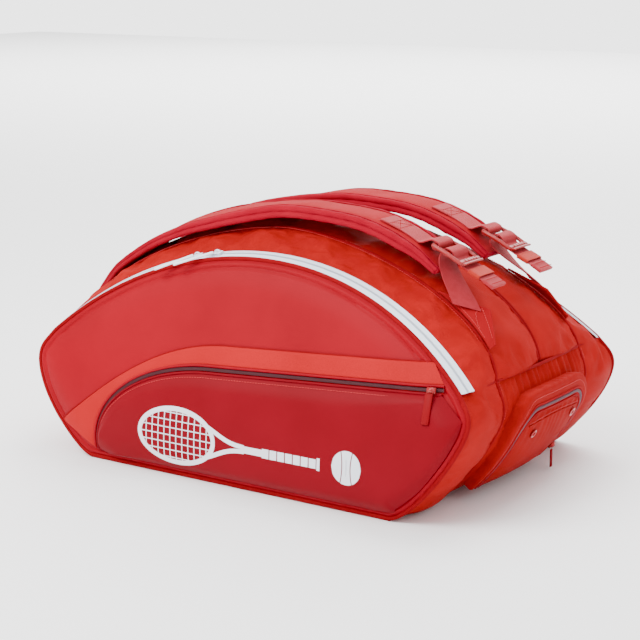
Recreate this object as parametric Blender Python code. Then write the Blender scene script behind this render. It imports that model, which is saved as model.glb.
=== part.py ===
"""Racket tournament bag: two racket compartments side by side under one arched top.

+X runs along the bag, +Y to its rear, +Z up. The origin is under the middle of the flat base. Metres.
"""

import math

import bmesh
import bpy
import numpy as np
from mathutils import Matrix

# Overall shape
zip_end_x = 0.338           # where the main zip meets the end seam
zip_end_y = -0.200
zip_end_z = 0.172
arch_top_z = 0.302          # highest point of the front panel's edge
zip_lean = math.radians(22)  # the zip's plane leans back by this
foot_y = -0.225             # front edge of the base
base_half_length = 0.250
side_x = 0.357              # the widest point of each end
side_z = 0.138
junction_y = -0.120         # seam between the gusset and the centre panel
junction_top_y = -0.082
junction_top_z = 0.338
junction_fullness = 1.65    # exponent of the arch: 2 is an ellipse
centre_top_z = 0.346
centre_fullness = 1.75
seam_x = 0.345              # end seam, at the junction and the centre
seam_z = 0.176

# Walls
clearance = 0.0003
panel_thickness = 0.0035
fabric_thickness = 0.0022
base_thickness = 0.003
board_thickness = 0.002
divider_thickness = 0.006
piping_radius = 0.0022
edge_piping_radius = 0.0030
panel_bulge = 0.007         # how far the moulded front stands out of its edge
bulge_run = 0.14            # share of the half width over which it rises
gusset_crown = 0.003
centre_crown = 0.006
end_crown = 0.004

# Main zip
zip_width = 0.022
zip_split = 0.0042          # width of the strip that opens with the flap
zip_rise = 0.62             # sine of the zip band's slope across its width
tape_thickness = 0.0012
fold_z = 0.214              # the flap folds out along this line
fold_gap = 0.0012
slider_angles = (math.radians(-14.0), math.radians(-10.0))
slider_size = (0.013, 0.0095, 0.0040)
bridge_size = (0.0080, 0.0024, 0.0032)
slider_line = 0.0130        # the coil, measured back from the panel's edge
puller_size = (0.058, 0.0072, 0.0020)
puller_turn = math.radians(34)
puller_height = 0.0066

# Front pocket and accent band, as points on the front face
pocket_right = (0.316, 0.172)
pocket_knee = (-0.050, 0.151)
pocket_foot = (-0.231, 0.018)
pocket_relief = 0.005
pocket_zip_width = 0.011
band_right = (0.2905, 0.2080)
band_knee = (-0.019, 0.190)
band_foot = (-0.303, 0.051)
band_thickness = 0.0015
pocket_slider_x = 0.303
pocket_slider_size = (0.012, 0.0080, 0.0038)
pocket_puller_size = (0.040, 0.011, 0.0020)

# End pocket, as distances along the bag's end (s), across it (y) and out of it (h)
end_pocket_half_width = 0.108
end_pocket_foot = 0.050
end_pocket_top = 0.190
end_pocket_corner = 0.046
end_pocket_height = 0.016
end_rim_width = 0.014
end_tape_width = 0.009
end_panel_crown = 0.006
eyelet_places = ((-0.052, 0.142), (0.060, 0.146))
eyelet_radius = 0.0062
eyelet_hole = 0.0032
end_slider_size = (0.011, 0.0075, 0.0036)
end_puller_size = (0.026, 0.0065, 0.0018)

# Shoulder straps
strap_y = 0.068
strap_width = 0.078
strap_edge_thickness = 0.011
strap_thickness = 0.019
strap_tip_thickness = 0.009
strap_root_width = 0.050
strap_lean = 0.14
strap_lean_from = -0.01
strap_route = (
    (-0.366, 0.196), (-0.3485, 0.2175), (-0.3265, 0.2430), (-0.3008, 0.2668), (-0.2434, 0.3036),
    (-0.1818, 0.3312), (-0.1177, 0.3510), (-0.0515, 0.3656), (0.000, 0.3729), (0.050, 0.3735),
    (0.120, 0.368), (0.172, 0.354), (0.212, 0.334), (0.243, 0.308),
)
webbing_width = 0.038
webbing_thickness = 0.0016
box_stitch_x = 0.150
lock_centre = (0.2545, 0.3265)
lock_slope = math.radians(-25)
lock_length = 0.052
lock_width = 0.050
lock_thickness = 0.005
lock_bars = ((-0.026, -0.020), (-0.006, 0.003), (0.018, 0.026))
lock_rail = 0.0045
tail_length = 0.048
tail_fold = 0.0042
keeper_length = 0.018
keeper_thickness = 0.0010
tab_corners = ((0.258, -0.1120, 0.2745), (0.314, -0.082, 0.2580), (0.3200, -0.1125, 0.2120))
tab_thickness = 0.0024

# Resolution
arch_steps = 26
side_steps = 9


# ---------------------------------------------------------------- curves

def unit(vector):
    return np.asarray(vector, float) / np.linalg.norm(vector)


def resample(points, count):
    """The same path as count points an equal distance apart."""
    points = np.asarray(points, float)
    run = np.concatenate([[0], np.cumsum(np.linalg.norm(np.diff(points, axis=0), axis=1))])
    at = np.linspace(0, run[-1], count)
    return np.stack([np.interp(at, run, points[:, k]) for k in range(points.shape[1])], axis=1)


def bezier(start, start_handle, end_handle, end, count=24):
    t = np.linspace(0, 1, count)[:, None]
    start, start_handle, end_handle, end = map(np.asarray, (start, start_handle, end_handle, end))
    return ((1 - t) ** 3 * start + 3 * t * (1 - t) ** 2 * start_handle
            + 3 * t ** 2 * (1 - t) * end_handle + t ** 3 * end)


def smooth_path(points, count):
    """A Catmull-Rom curve through the points."""
    points = np.asarray(points, float)
    padded = np.vstack([2 * points[0] - points[1], points, 2 * points[-1] - points[-2]])
    path = []
    for k in range(1, len(padded) - 2):
        a, b, c, d = padded[k - 1:k + 3]
        for t in np.linspace(0, 1, 12, endpoint=False):
            path.append(0.5 * (2 * b + (c - a) * t + (2 * a - 5 * b + 4 * c - d) * t ** 2
                               + (3 * b - a - 3 * c + d) * t ** 3))
    path.append(points[-1])
    return resample(path, count)


def offset_along(points, sides):
    """Unit normals of a flat or curved path, square to it and to the side vectors."""
    return np.array([unit(np.cross(t, s)) for t, s in zip(tangents(points), sides)])


def tangents(points):
    return np.array([unit(v) for v in np.gradient(np.asarray(points, float), axis=0)])


# ---------------------------------------------------------------- the body's surface

zip_up = np.array([0, math.sin(zip_lean), math.cos(zip_lean)])
zip_axis = np.array([0, math.cos(zip_lean), -math.sin(zip_lean)])
zip_height = (arch_top_z - zip_end_z) / math.cos(zip_lean)
zip_radius = (zip_end_x ** 2 + zip_height ** 2) / (2 * zip_height)
zip_span = math.asin(zip_end_x / zip_radius)
arch_top_y = zip_end_y + zip_height * math.sin(zip_lean)
zip_centre = np.array([0, arch_top_y, arch_top_z]) - zip_radius * zip_up
zip_run = math.sqrt(1 - zip_rise ** 2)
base_line_z = edge_piping_radius + 0.0008


def zip_point(angle, across, height=0.0):
    """A point of the zip band: angle along it, distance back from the panel's edge, height above it."""
    out = math.sin(angle) * np.array([1.0, 0, 0]) + math.cos(angle) * zip_up
    normal = zip_run * out - zip_rise * zip_axis
    return zip_centre + zip_axis * zip_run * across + out * (zip_radius + zip_rise * across) + normal * height


def zip_frame(angle):
    """Along the zip, towards the front across it, and out of it."""
    along = math.cos(angle) * np.array([1.0, 0, 0]) - math.sin(angle) * zip_up
    out = math.sin(angle) * np.array([1.0, 0, 0]) + math.cos(angle) * zip_up
    front = -(zip_run * zip_axis + zip_rise * out)
    return along, front, zip_run * out - zip_rise * zip_axis


fold_angle = math.acos((fold_z - zip_centre[2]) / (zip_radius * math.cos(zip_lean)))
face_rise = zip_end_y - foot_y
face_turn_z = zip_end_z - 2 * face_rise / math.tan(zip_lean)


def edge_y(z):
    """Depth of the front panel's edge at a height."""
    z = np.asarray(z, float)
    curve = foot_y + face_rise * ((np.maximum(z, face_turn_z) - face_turn_z) / (zip_end_z - face_turn_z)) ** 2
    return np.where(z > zip_end_z, zip_end_y + (z - zip_end_z) * math.tan(zip_lean), curve)


def lower_side(top_x, top_z, lean_out):
    """One end from the end seam down to the base, in x and z."""
    upper = bezier((top_x, top_z), (top_x + lean_out, top_z - 0.014), (side_x, side_z + 0.014),
                   (side_x, side_z), 12)
    lower = bezier((side_x, side_z), (side_x, side_z - 0.038), (base_half_length + 0.030, base_line_z),
                   (base_half_length, base_line_z), 24)
    return resample(np.vstack([upper, lower[1:]]), side_steps)


def arch_guide(end_x, end_y, top_y, top_z, fullness):
    """A seam over the top, from the left end seam to the right one."""
    t = np.linspace(-1, 1, 181) * math.pi / 2
    x = end_x * np.sign(t) * np.abs(np.sin(t)) ** (2 / fullness)
    rise = np.abs(np.cos(t)) ** (2 / fullness)
    points = np.stack([x, end_y + (top_y - end_y) * rise, seam_z + (top_z - seam_z) * rise], axis=1)
    return resample(points, arch_steps)


def whole_guide(arch, side_y, lean_out):
    """An arch with both ends carried down to the base. side_y gives the depth at a height."""
    side = lower_side(arch[-1][0], arch[-1][2], lean_out)
    down = np.stack([side[:, 0], side_y(side[:, 1]), side[:, 1]], axis=1)
    up = (down * (-1, 1, 1))[::-1]
    return np.vstack([up[:-1], arch, down[1:]])


def edge_arch(across=0.0):
    return np.array([zip_point(a, across) for a in np.linspace(-zip_span, zip_span, arch_steps)])


edge_guide = whole_guide(edge_arch(), edge_y, 0.010)
zip_guide = whole_guide(edge_arch(zip_width), lambda z: edge_y(z) + zip_width * zip_run, 0.006)
junction_arch = arch_guide(seam_x, junction_y, junction_top_y, junction_top_z, junction_fullness)
junction_guide = whole_guide(junction_arch, lambda z: np.full_like(z, junction_y), 0.005)
centre_arch = arch_guide(seam_x, 0.0, 0.0, centre_top_z, centre_fullness)
seam_first = side_steps - 1
seam_last = seam_first + arch_steps - 1


def half_width(z):
    """Half length of the front panel at a height."""
    right = edge_guide[len(edge_guide) // 2:]
    return np.interp(-np.asarray(z, float), -right[:, 2], right[:, 0])


def face_bulge(x, z):
    """How far the moulded front stands out of its edge."""
    share = np.clip(1 - np.abs(x) / half_width(z), 0, 1)
    top = np.clip((z - base_line_z) / 0.045, 0, 1)
    return panel_bulge * np.sin(np.minimum(share / bulge_run, 1) * math.pi / 2) * np.sin(top * math.pi / 2)


def face_point(x, z, out=0.0):
    """A point on the front face, moved out of it."""
    return np.stack([x, edge_y(z) - face_bulge(x, z) - out, z], axis=-1)


# ---------------------------------------------------------------- making objects

def clear_scene():
    for item in list(bpy.data.objects):
        bpy.data.objects.remove(item, do_unlink=True)


def material(name, color, roughness, metallic=0.0):
    made = bpy.data.materials.get(name)
    if made:
        return made
    made = bpy.data.materials.new(name)
    made.use_nodes = True
    shader = made.node_tree.nodes["Principled BSDF"]
    shader.inputs["Base Color"].default_value = (*color, 1)
    shader.inputs["Roughness"].default_value = roughness
    shader.inputs["Metallic"].default_value = metallic
    return made


def moulded():
    return material("moulded_pu", (0.72, 0.01, 0.03), 0.42)


def polyester():
    return material("polyester", (0.78, 0.06, 0.05), 0.75)


def white_tape():
    return material("white_zip", (0.85, 0.90, 0.95), 0.5)


def webbing():
    return material("webbing", (0.80, 0.09, 0.09), 0.8)


def red_plastic():
    return material("red_plastic", (0.70, 0.02, 0.03), 0.3)


def finish(name, vertices, faces, surface, smooth=True):
    mesh = bpy.data.meshes.new(name)
    mesh.from_pydata([tuple(map(float, v)) for v in vertices], [], faces)
    work = bmesh.new()
    work.from_mesh(mesh)
    bmesh.ops.recalc_face_normals(work, faces=work.faces)
    bmesh.ops.triangulate(work, faces=work.faces)
    if work.calc_volume(signed=True) < 0:
        bmesh.ops.reverse_faces(work, faces=work.faces)
    work.to_mesh(mesh)
    work.free()
    if smooth:
        mesh.shade_smooth()
        mesh.set_sharp_from_angle(angle=math.radians(40))
    made = bpy.data.objects.new(name, mesh)
    made.data.materials.append(surface)
    bpy.context.scene.collection.objects.link(made)
    return made


def put_origin(name, point):
    """Move an object's origin onto its joint's axis and leave its shape where it is."""
    made = bpy.data.objects[name]
    made.data.transform(Matrix.Translation([-float(k) for k in point]))
    made.location = [float(k) for k in point]


def grid_solid(name, outer, inner, surface):
    """A closed wall between two grids of the same size."""
    rows, columns = outer.shape[:2]
    count = rows * columns
    at = np.arange(count).reshape(rows, columns)
    faces = []
    for r in range(rows - 1):
        for c in range(columns - 1):
            a, b, d, e = at[r, c], at[r, c + 1], at[r + 1, c + 1], at[r + 1, c]
            faces.append((a, b, d, e))
            faces.append((a + count, e + count, d + count, b + count))
    rim = ([(at[0, c], at[0, c + 1]) for c in range(columns - 1)]
           + [(at[r, -1], at[r + 1, -1]) for r in range(rows - 1)]
           + [(at[-1, c + 1], at[-1, c]) for c in range(columns - 1)]
           + [(at[r + 1, 0], at[r, 0]) for r in range(rows - 1)])
    faces += [(b, a, a + count, b + count) for a, b in rim]
    faces = [tuple(int(i) for i in face) for face in faces]
    return finish(name, np.vstack([outer.reshape(-1, 3), inner.reshape(-1, 3)]), faces, surface)


def grid_normals(grid, away_from):
    across = np.gradient(grid, axis=0)
    along = np.gradient(grid, axis=1)
    normals = np.cross(across, along)
    normals /= np.linalg.norm(normals, axis=2, keepdims=True)
    facing = np.sum(normals * (grid - np.asarray(away_from)), axis=2, keepdims=True)
    return normals * np.sign(np.mean(facing))


def turned(points, rear):
    """The rear half is the front half turned half round."""
    return points * (-1, -1, 1) if rear else points


def panel(name, grid, thickness, surface, rear=False, away_from=(0, 0, 0.12)):
    """A sewn panel: its outer face is the grid, its thickness goes inwards."""
    normals = grid_normals(grid, away_from)
    return grid_solid(name, turned(grid, rear), turned(grid - normals * thickness, rear), surface)


def strip(first, last, rows, crown, trims, away_from=(0, 0, 0.12)):
    """The surface between two seams, trimmed clear of both and crowned between them."""
    gap = last - first
    width = np.linalg.norm(gap, axis=1, keepdims=True)
    low = trims[0] / width
    high = 1 - trims[1] / width
    flat = np.array([first + gap * (low + (high - low) * s) for s in np.linspace(0, 1, rows)])
    lift = crown * 4 * np.linspace(0, 1, rows) * (1 - np.linspace(0, 1, rows))
    return flat + grid_normals(flat, away_from) * lift[:, None, None]


def sweep(name, path, profile, surface, sides, closed_profile_caps=True, rear=False):
    """A profile of (side, normal) offsets carried along a path. The sides give the profile's first axis."""
    path = np.asarray(path, float)
    sides = np.array([unit(s) for s in np.broadcast_to(sides, path.shape)])
    normals = offset_along(path, sides)
    rings = np.array([[p + s * a + n * b for a, b in profile] for p, s, n in zip(path, sides, normals)])
    count = len(profile)
    faces = []
    for k in range(len(path) - 1):
        for j in range(count):
            a = k * count + j
            b = k * count + (j + 1) % count
            faces.append((a, b, b + count, a + count))
    if closed_profile_caps:
        faces.append(tuple(range(count))[::-1])
        faces.append(tuple(range((len(path) - 1) * count, len(path) * count)))
    return finish(name, turned(rings.reshape(-1, 3), rear), faces, surface)


def round_profile(radius, count=8):
    return [(radius * math.cos(2 * math.pi * k / count), radius * math.sin(2 * math.pi * k / count))
            for k in range(count)]


def cord(name, path, radius, surface, sides, rear=False):
    return sweep(name, path, round_profile(radius), surface, sides, rear=rear)


def block(name, centre, axes, size, surface, bevel=0.0008, rear=False):
    """A bevelled block square to the given axes."""
    corners = [np.asarray(centre) + sum(axis * s * (k - 0.5) for axis, s, k in zip(axes, size, corner))
               for corner in np.ndindex(2, 2, 2)]
    faces = [(0, 1, 3, 2), (4, 6, 7, 5), (0, 4, 5, 1), (2, 3, 7, 6), (0, 2, 6, 4), (1, 5, 7, 3)]
    made = finish(name, turned(np.array(corners), rear), faces, surface, smooth=False)
    work = bmesh.new()
    work.from_mesh(made.data)
    bmesh.ops.dissolve_limit(work, angle_limit=0.01, verts=work.verts, edges=work.edges)
    bmesh.ops.bevel(work, geom=list(work.edges), offset=bevel, segments=1, affect="EDGES")
    bmesh.ops.triangulate(work, faces=work.faces)
    work.to_mesh(made.data)
    work.free()
    return made


def trimmed_path(path, start, end):
    """A path cut shorter by a length at each end."""
    path = np.asarray(path, float)
    run = np.concatenate([[0], np.cumsum(np.linalg.norm(np.diff(path, axis=0), axis=1))])
    keep = (run > start + 0.002) & (run < run[-1] - end - 0.002)
    ends = [np.array([np.interp(at, run, path[:, k]) for k in range(3)]) for at in (start, run[-1] - end)]
    return np.vstack([ends[0], path[keep], ends[1]])


# ---------------------------------------------------------------- the bag's body

def make_base():
    half_depth = -foot_y - edge_piping_radius - 0.002
    half_length = base_half_length - 0.004
    for name, low, thick, inset in (("base_panel", 0.0, base_thickness, 0.0),
                                    ("base_board", base_thickness + clearance, board_thickness, 0.012)):
        block(name, (0, 0, low + thick / 2), np.eye(3),
              (2 * (half_length - inset), 2 * (half_depth - inset), thick), moulded(), bevel=0.0006)


def make_lower_panel(name, rear):
    """The moulded front below the fold line, down to the base."""
    rows = np.concatenate([np.linspace(base_line_z + edge_piping_radius + 0.0035, 0.05, 5)[:-1],
                           np.linspace(0.05, fold_z - fold_gap, 8)])
    columns = np.concatenate([np.linspace(-1, -1 + bulge_run, 3)[:-1], np.linspace(-1 + bulge_run, 1 - bulge_run, 9),
                              np.linspace(1 - bulge_run, 1, 3)[1:]])
    inset = edge_piping_radius + 0.0014
    reach = half_width(rows) - inset / 0.8 - 0.006 * (rows[0] / rows) ** 3
    grid = np.array([face_point(columns * w, np.full(len(columns), z)) for w, z in zip(reach, rows)])
    panel(name, grid, panel_thickness, moulded(), rear)


def make_flap_panel(name, rear):
    """The moulded front above the fold line, which opens as a flap."""
    z = fold_z + fold_gap
    columns = np.linspace(-1, 1, 19)
    reach = half_width(z) - 0.016
    fold = face_point(columns * reach, np.full(len(columns), z))
    edge = np.array([zip_point(c * (fold_angle - 0.016), 0) for c in columns])
    towards = fold - edge
    length = np.linalg.norm(towards, axis=1, keepdims=True)
    edge = edge + towards / length * (edge_piping_radius + 0.0010)
    steps = np.array([0, 0.10, 0.22, 0.40, 0.60, 0.80, 1.0])
    flat = np.array([edge + (fold - edge) * s for s in steps])
    lift = panel_bulge * 0.9 * np.sin(np.minimum(steps / 0.3, 1) * math.pi / 2)
    ends = np.sin(np.clip((1 - np.abs(columns)) / 0.25, 0, 1) * math.pi / 2)
    lift = (lift * (1 - steps ** 2))[:, None] * ends[None, :]
    grid = flat + grid_normals(flat, (0, 0, 0.12)) * lift[:, :, None]
    panel(name, grid, panel_thickness, moulded(), rear)


def make_gusset(name, rear):
    """The fabric strip behind the zip, carried down both ends to the base."""
    first = zip_guide.copy()
    for side in (slice(0, seam_first), slice(seam_last + 1, None)):
        first[side] = edge_guide[side]
    grid = strip(first, junction_guide, 5, gusset_crown,
                 (edge_piping_radius + 0.0010, piping_radius + 0.0008))
    panel(name, grid, fabric_thickness, polyester(), rear)


def make_centre_panel(name, rear):
    grid = strip(trimmed_path(junction_arch, piping_radius + 0.001, piping_radius + 0.001),
                 trimmed_path(centre_arch, piping_radius + 0.001, piping_radius + 0.001),
                 6, centre_crown, (piping_radius + 0.0008, 2 * piping_radius + 0.0008))
    panel(name, grid, fabric_thickness, polyester(), rear)


def end_path():
    """The junction seam's lower side on the right, from the base up."""
    return junction_guide[seam_last:][::-1]


def make_end_panel(name, rear):
    """The end between the two junction seams, below the end seam. rear turns it to the left end."""
    front = trimmed_path(end_path(), 0.0, piping_radius + 0.0008 + end_crown / 2)
    back = front * (1, -1, 1)
    grid = strip(front, back, 9, end_crown, (piping_radius + 0.0008,) * 2)
    panel(name, grid, fabric_thickness, polyester(), rear)


def make_pipings():
    along_y = np.array([0, 1.0, 0])
    for half, rear in (("front", False), ("rear", True)):
        cord(f"junction_piping_{half}", junction_guide, piping_radius, polyester(), along_y, rear)
        arc = np.array([zip_point(a, 0) for a in np.linspace(-fold_angle + 0.006, fold_angle - 0.006, 21)])
        cord(f"{half}_flap_piping", arc, edge_piping_radius, polyester(), along_y, rear)
        cord(f"{half}_edge_piping", lower_edge_path(), edge_piping_radius, polyester(), along_y, rear)
    top = trimmed_path(centre_arch, piping_radius + 0.001, piping_radius + 0.001)
    radius = piping_radius
    double = [(-2 * radius, 0), (-1.6 * radius, 0.75 * radius), (-radius, radius), (0, 0.35 * radius),
              (radius, radius), (1.6 * radius, 0.75 * radius), (2 * radius, 0), (radius, -radius), (-radius, -radius)]
    sweep("centre_piping", top, [(-a, -b) for a, b in double], polyester(), along_y)
    start = junction_guide[seam_last]
    reach = abs(start[1]) - 2 * piping_radius - clearance
    steps = np.linspace(-reach, reach, 9)
    bow = 0.004 * (1 - (steps / reach) ** 2)
    seam = np.stack([start[0] + bow, steps, np.full(len(steps), start[2])], axis=1)
    cord("end_seam_piping_right", seam, piping_radius, polyester(), np.array([0, 0, 1.0]))
    cord("end_seam_piping_left", seam, piping_radius, polyester(), np.array([0, 0, 1.0]), rear=True)


def lower_edge_path():
    """The front panel's edge from the fold line round under the base to the fold line again."""
    right = [zip_point(a, 0) for a in np.linspace(fold_angle + 0.006, zip_span, 5)]
    side = edge_guide[seam_last + 1:]
    half = np.vstack([right, side])
    return np.vstack([half, (half * (-1, 1, 1))[::-1]])


def make_zip_tapes(half, rear):
    angles = np.linspace(-fold_angle + 0.006, fold_angle - 0.006, 21)
    start = edge_piping_radius + 0.0006
    grid = np.array([[zip_point(a, w) for a in angles] for w in (start, start + zip_split)])
    panel(f"{half}_zip_tape_flap", grid, tape_thickness, white_tape(), rear, (0, 0, 0))
    middle = np.linspace(-fold_angle + 0.004, fold_angle - 0.004, 21)
    last = np.linspace(fold_angle + 0.001, zip_span - 0.010, 4)
    outer = np.concatenate([-last[::-1], middle, last])
    inner = np.where(np.abs(outer) > fold_angle, start, start + zip_split + clearance)
    grid = np.array([[zip_point(a, low + (zip_width - low) * s) for a, low in zip(outer, inner)]
                     for s in (0, 0.5, 1)])
    panel(f"{half}_zip_tape_body", grid, tape_thickness, white_tape(), rear, (0, 0, 0))


def puller_frame(angle):
    """A main puller's pivot, its length direction, its pivot's axis and its upper side."""
    along, front, out = zip_frame(angle)
    direction = -along * math.cos(puller_turn) + front * math.sin(puller_turn)
    side = -along * math.sin(puller_turn) - front * math.cos(puller_turn)
    pivot = zip_point(angle, slider_line, puller_height) + direction * (bridge_size[0] / 2 + 0.0020)
    return pivot, direction, side, out


def make_sliders(half, rear):
    """Two sliders, nearly head to head, each with a long flat puller trailing to one side."""
    for name, angle in zip(("left", "right"), slider_angles):
        base = zip_point(angle, slider_line, clearance + slider_size[2] / 2)
        slider(f"{half}_zip_slider_{name}", base, zip_frame(angle), slider_size, bridge_size, white_tape(), rear)
        put_origin(f"{half}_zip_slider_{name}", turned(zip_centre, rear))
        pivot, direction, side, out = puller_frame(angle)
        block(f"{half}_zip_puller_{name}", pivot + direction * puller_size[0] / 2, (direction, side, out),
              puller_size, white_tape(), bevel=0.0006, rear=rear)
        put_origin(f"{half}_zip_puller_{name}", turned(pivot, rear))


def slider(name, centre, axes, size, bridge, surface, rear=False):
    """A slider's body with the raised bridge that holds its puller, as one closed stepped solid."""
    along, across, out = axes
    half_along = size[0] / 2
    profile = [(-half_along, -size[2] / 2), (half_along, -size[2] / 2), (half_along, size[2] / 2),
               (bridge[0] / 2, size[2] / 2), (bridge[0] / 2 * 0.7, size[2] / 2 + bridge[2]),
               (-bridge[0] / 2 * 0.7, size[2] / 2 + bridge[2]), (-bridge[0] / 2, size[2] / 2),
               (-half_along, size[2] / 2)]
    widths = [size[1]] * 4 + [bridge[1]] * 2 + [size[1]] * 2
    left = [centre + along * a + out * h + across * w / 2 for (a, h), w in zip(profile, widths)]
    right = [centre + along * a + out * h - across * w / 2 for (a, h), w in zip(profile, widths)]
    count = len(profile)
    faces = [(k, (k + 1) % count, (k + 1) % count + count, k + count) for k in range(count)]
    for first in (0, count):
        faces.append(tuple(first + k for k in (0, 1, 2, 3, 6, 7)))
        faces.append(tuple(first + k for k in (3, 4, 5, 6)))
    return finish(name, turned(np.array(left + right), rear), faces, surface, smooth=False)


def make_divider():
    """The padded wall between the two compartments."""
    inset = 0.010
    middle = np.array([0, 0, 0.15])
    arch = centre_arch + np.array([unit(middle - p) for p in centre_arch]) * inset
    floor_z = base_thickness + board_thickness + 2 * clearance
    side = lower_side(seam_x, seam_z, 0.005)
    side = np.stack([side[:, 0] - 0.012, np.zeros(len(side)), np.maximum(side[:, 1], floor_z)], axis=1)[1:]
    path = np.vstack([(side * (-1, 1, 1)), side[::-1]])
    lower = resample(path, arch_steps)
    offset = np.array([0, divider_thickness / 2, 0])
    grid = np.array([arch, lower])
    grid_solid("centre_divider", grid - offset, grid + offset, polyester())


# ---------------------------------------------------------------- front pocket and accent band

def pocket_line(raise_by=0.0, spread=0.0):
    """The front pocket's upper edge from its foot at the left to its right end, in x and z."""
    foot = (pocket_foot[0] - spread, pocket_foot[1])
    knee = (pocket_knee[0], pocket_knee[1] + raise_by)
    bend = bezier(foot, (foot[0] - 0.006, foot[1] + 0.080 + raise_by), (knee[0] - 0.100, knee[1] - 0.007), knee)
    right = (pocket_right[0], pocket_right[1] + raise_by)
    return np.vstack([bend, right])


def band_line():
    """The accent band's upper edge."""
    bend = bezier(band_foot, (band_foot[0] + 0.090, band_foot[1] + 0.068), (band_knee[0] - 0.120, band_knee[1] - 0.005),
                  band_knee)
    return np.vstack([bend, band_right])


def pocket_floor():
    """The front pocket's lower and right edge, a little inside the panel's edge."""
    inset = 0.012
    along = [(pocket_foot[0] + 0.022, 0.016), (0.236, 0.016)]
    side = edge_guide[seam_last + 1:][::-1]
    rise = [(x - inset, z + 0.004) for x, _, z in side if 0.028 < z < 0.135]
    return np.vstack([along, rise])


def overlay(name, first, last, rows, relief, lift, thickness, surface):
    """A layer on the front face between two lines in x and z, standing out by relief between its edges."""
    steps = np.linspace(0, 1, rows)
    grid = []
    base = []
    for s in steps:
        line = first + (last - first) * s
        edge = np.minimum(1, np.minimum(s, 1 - s) / 0.2)
        along = np.minimum(1, np.minimum(np.linspace(0, 1, len(line)), np.linspace(1, 0, len(line))) / 0.06)
        out = thickness + relief * np.sin(edge * math.pi / 2) * np.sin(along * math.pi / 2)
        grid.append(face_point(line[:, 0], line[:, 1], lift + out))
        base.append(face_point(line[:, 0], line[:, 1], lift))
    return grid_solid(name, np.array(grid), np.array(base), surface)


def make_front_pocket():
    lift = 0.0014
    count = 26
    top = resample(pocket_line(), count)
    floor = resample(pocket_floor(), count)
    overlay("pocket_panel", top + (0.0, -0.0006), floor, 7, pocket_relief, lift, 0.0030, moulded())
    upper = resample(pocket_line(pocket_zip_width, 0.006), count)
    overlay("pocket_zip_tape", upper - (0.0, 0.0006), top, 3, 0.0, lift, 0.0012, polyester())
    line = resample(band_line(), count)
    overlay("accent_band", line, upper + (0.0, 0.0002), 4, 0.0, lift, band_thickness, polyester())


def pocket_slide():
    """Unit vector of the pocket slider's way, from its rest towards the left."""
    return unit(pocket_zip_point(pocket_knee[0]) - pocket_zip_point(pocket_slider_x))


def pocket_zip_point(x):
    share = (x - pocket_knee[0]) / (pocket_right[0] - pocket_knee[0])
    z = pocket_knee[1] + (pocket_right[1] - pocket_knee[1]) * share + pocket_zip_width / 2
    return np.array([x, edge_y(z) - panel_bulge - 0.0047, z])


def pocket_puller_frame():
    """The pocket slider's centre and axes, and its puller's pivot, length direction and pivot's axis."""
    along = -pocket_slide()
    out = unit(np.array([0, -1, math.tan(zip_lean) * 0.8]))
    across = unit(np.cross(out, along))
    out = np.cross(along, across)
    centre = pocket_zip_point(pocket_slider_x) + out * (pocket_slider_size[2] / 2 - 0.0006)
    pivot = centre + out * (pocket_slider_size[2] / 2 + 0.0026) - across * 0.0040
    foot_x, foot_z = pocket_slider_x + 0.002, pivot[2] - pocket_puller_size[0] * 0.9
    down = unit(face_point(foot_x, foot_z, pocket_relief + 0.0068) - pivot)
    face = unit(np.cross(down, along))
    return centre, (along, across, out), pivot, down, unit(np.cross(face, down))


def make_pocket_slider():
    centre, axes, pivot, down, pin = pocket_puller_frame()
    slider("pocket_slider", centre, axes, pocket_slider_size, (0.0075, 0.0026, 0.0028), red_plastic())
    put_origin("pocket_slider", centre)
    block("pocket_puller", pivot + down * pocket_puller_size[0] / 2, (down, pin, np.cross(down, pin)),
          pocket_puller_size, red_plastic())
    put_origin("pocket_puller", pivot)


# ---------------------------------------------------------------- end pocket

def end_side():
    """The middle of the right end from the base up, with its run and outward normals, in x and z."""
    path = end_path()[:, [0, 2]]
    fine = resample(path, 80)
    run = np.concatenate([[0], np.cumsum(np.linalg.norm(np.diff(fine, axis=0), axis=1))])
    lines = np.gradient(fine, axis=0)
    normals = np.stack([lines[:, 1], -lines[:, 0]], axis=1)
    return fine, run, normals / np.linalg.norm(normals, axis=1, keepdims=True)


def end_point(y, s, h):
    """A point on the right end: across, along from the base, and out of the end panel."""
    fine, run, normals = end_side()
    place = [np.interp(s, run, fine[:, k]) for k in range(2)]
    normal = [np.interp(s, run, normals[:, k]) for k in range(2)]
    crown = end_crown * (1 - (y / junction_y) ** 2)
    h = h + crown
    return np.array([place[0] + normal[0] * h, y, place[1] + normal[1] * h])


def end_outline(inset):
    """The pocket's outline from its front foot over the top to its rear foot, in y and s."""
    half = end_pocket_half_width - inset
    top = end_pocket_top - inset
    radius = end_pocket_corner - inset * 0.6
    turn = np.linspace(0, math.pi / 2, 7)
    front = [(-half, end_pocket_foot), (-half, (end_pocket_foot + top - radius) / 2)]
    corner = [(-half + radius - radius * math.cos(a), top - radius + radius * math.sin(a)) for a in turn]
    left = np.array(front + corner + [(-half / 3, top)])
    right = (left * (-1, 1))[::-1]
    return np.vstack([left, right])


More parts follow.
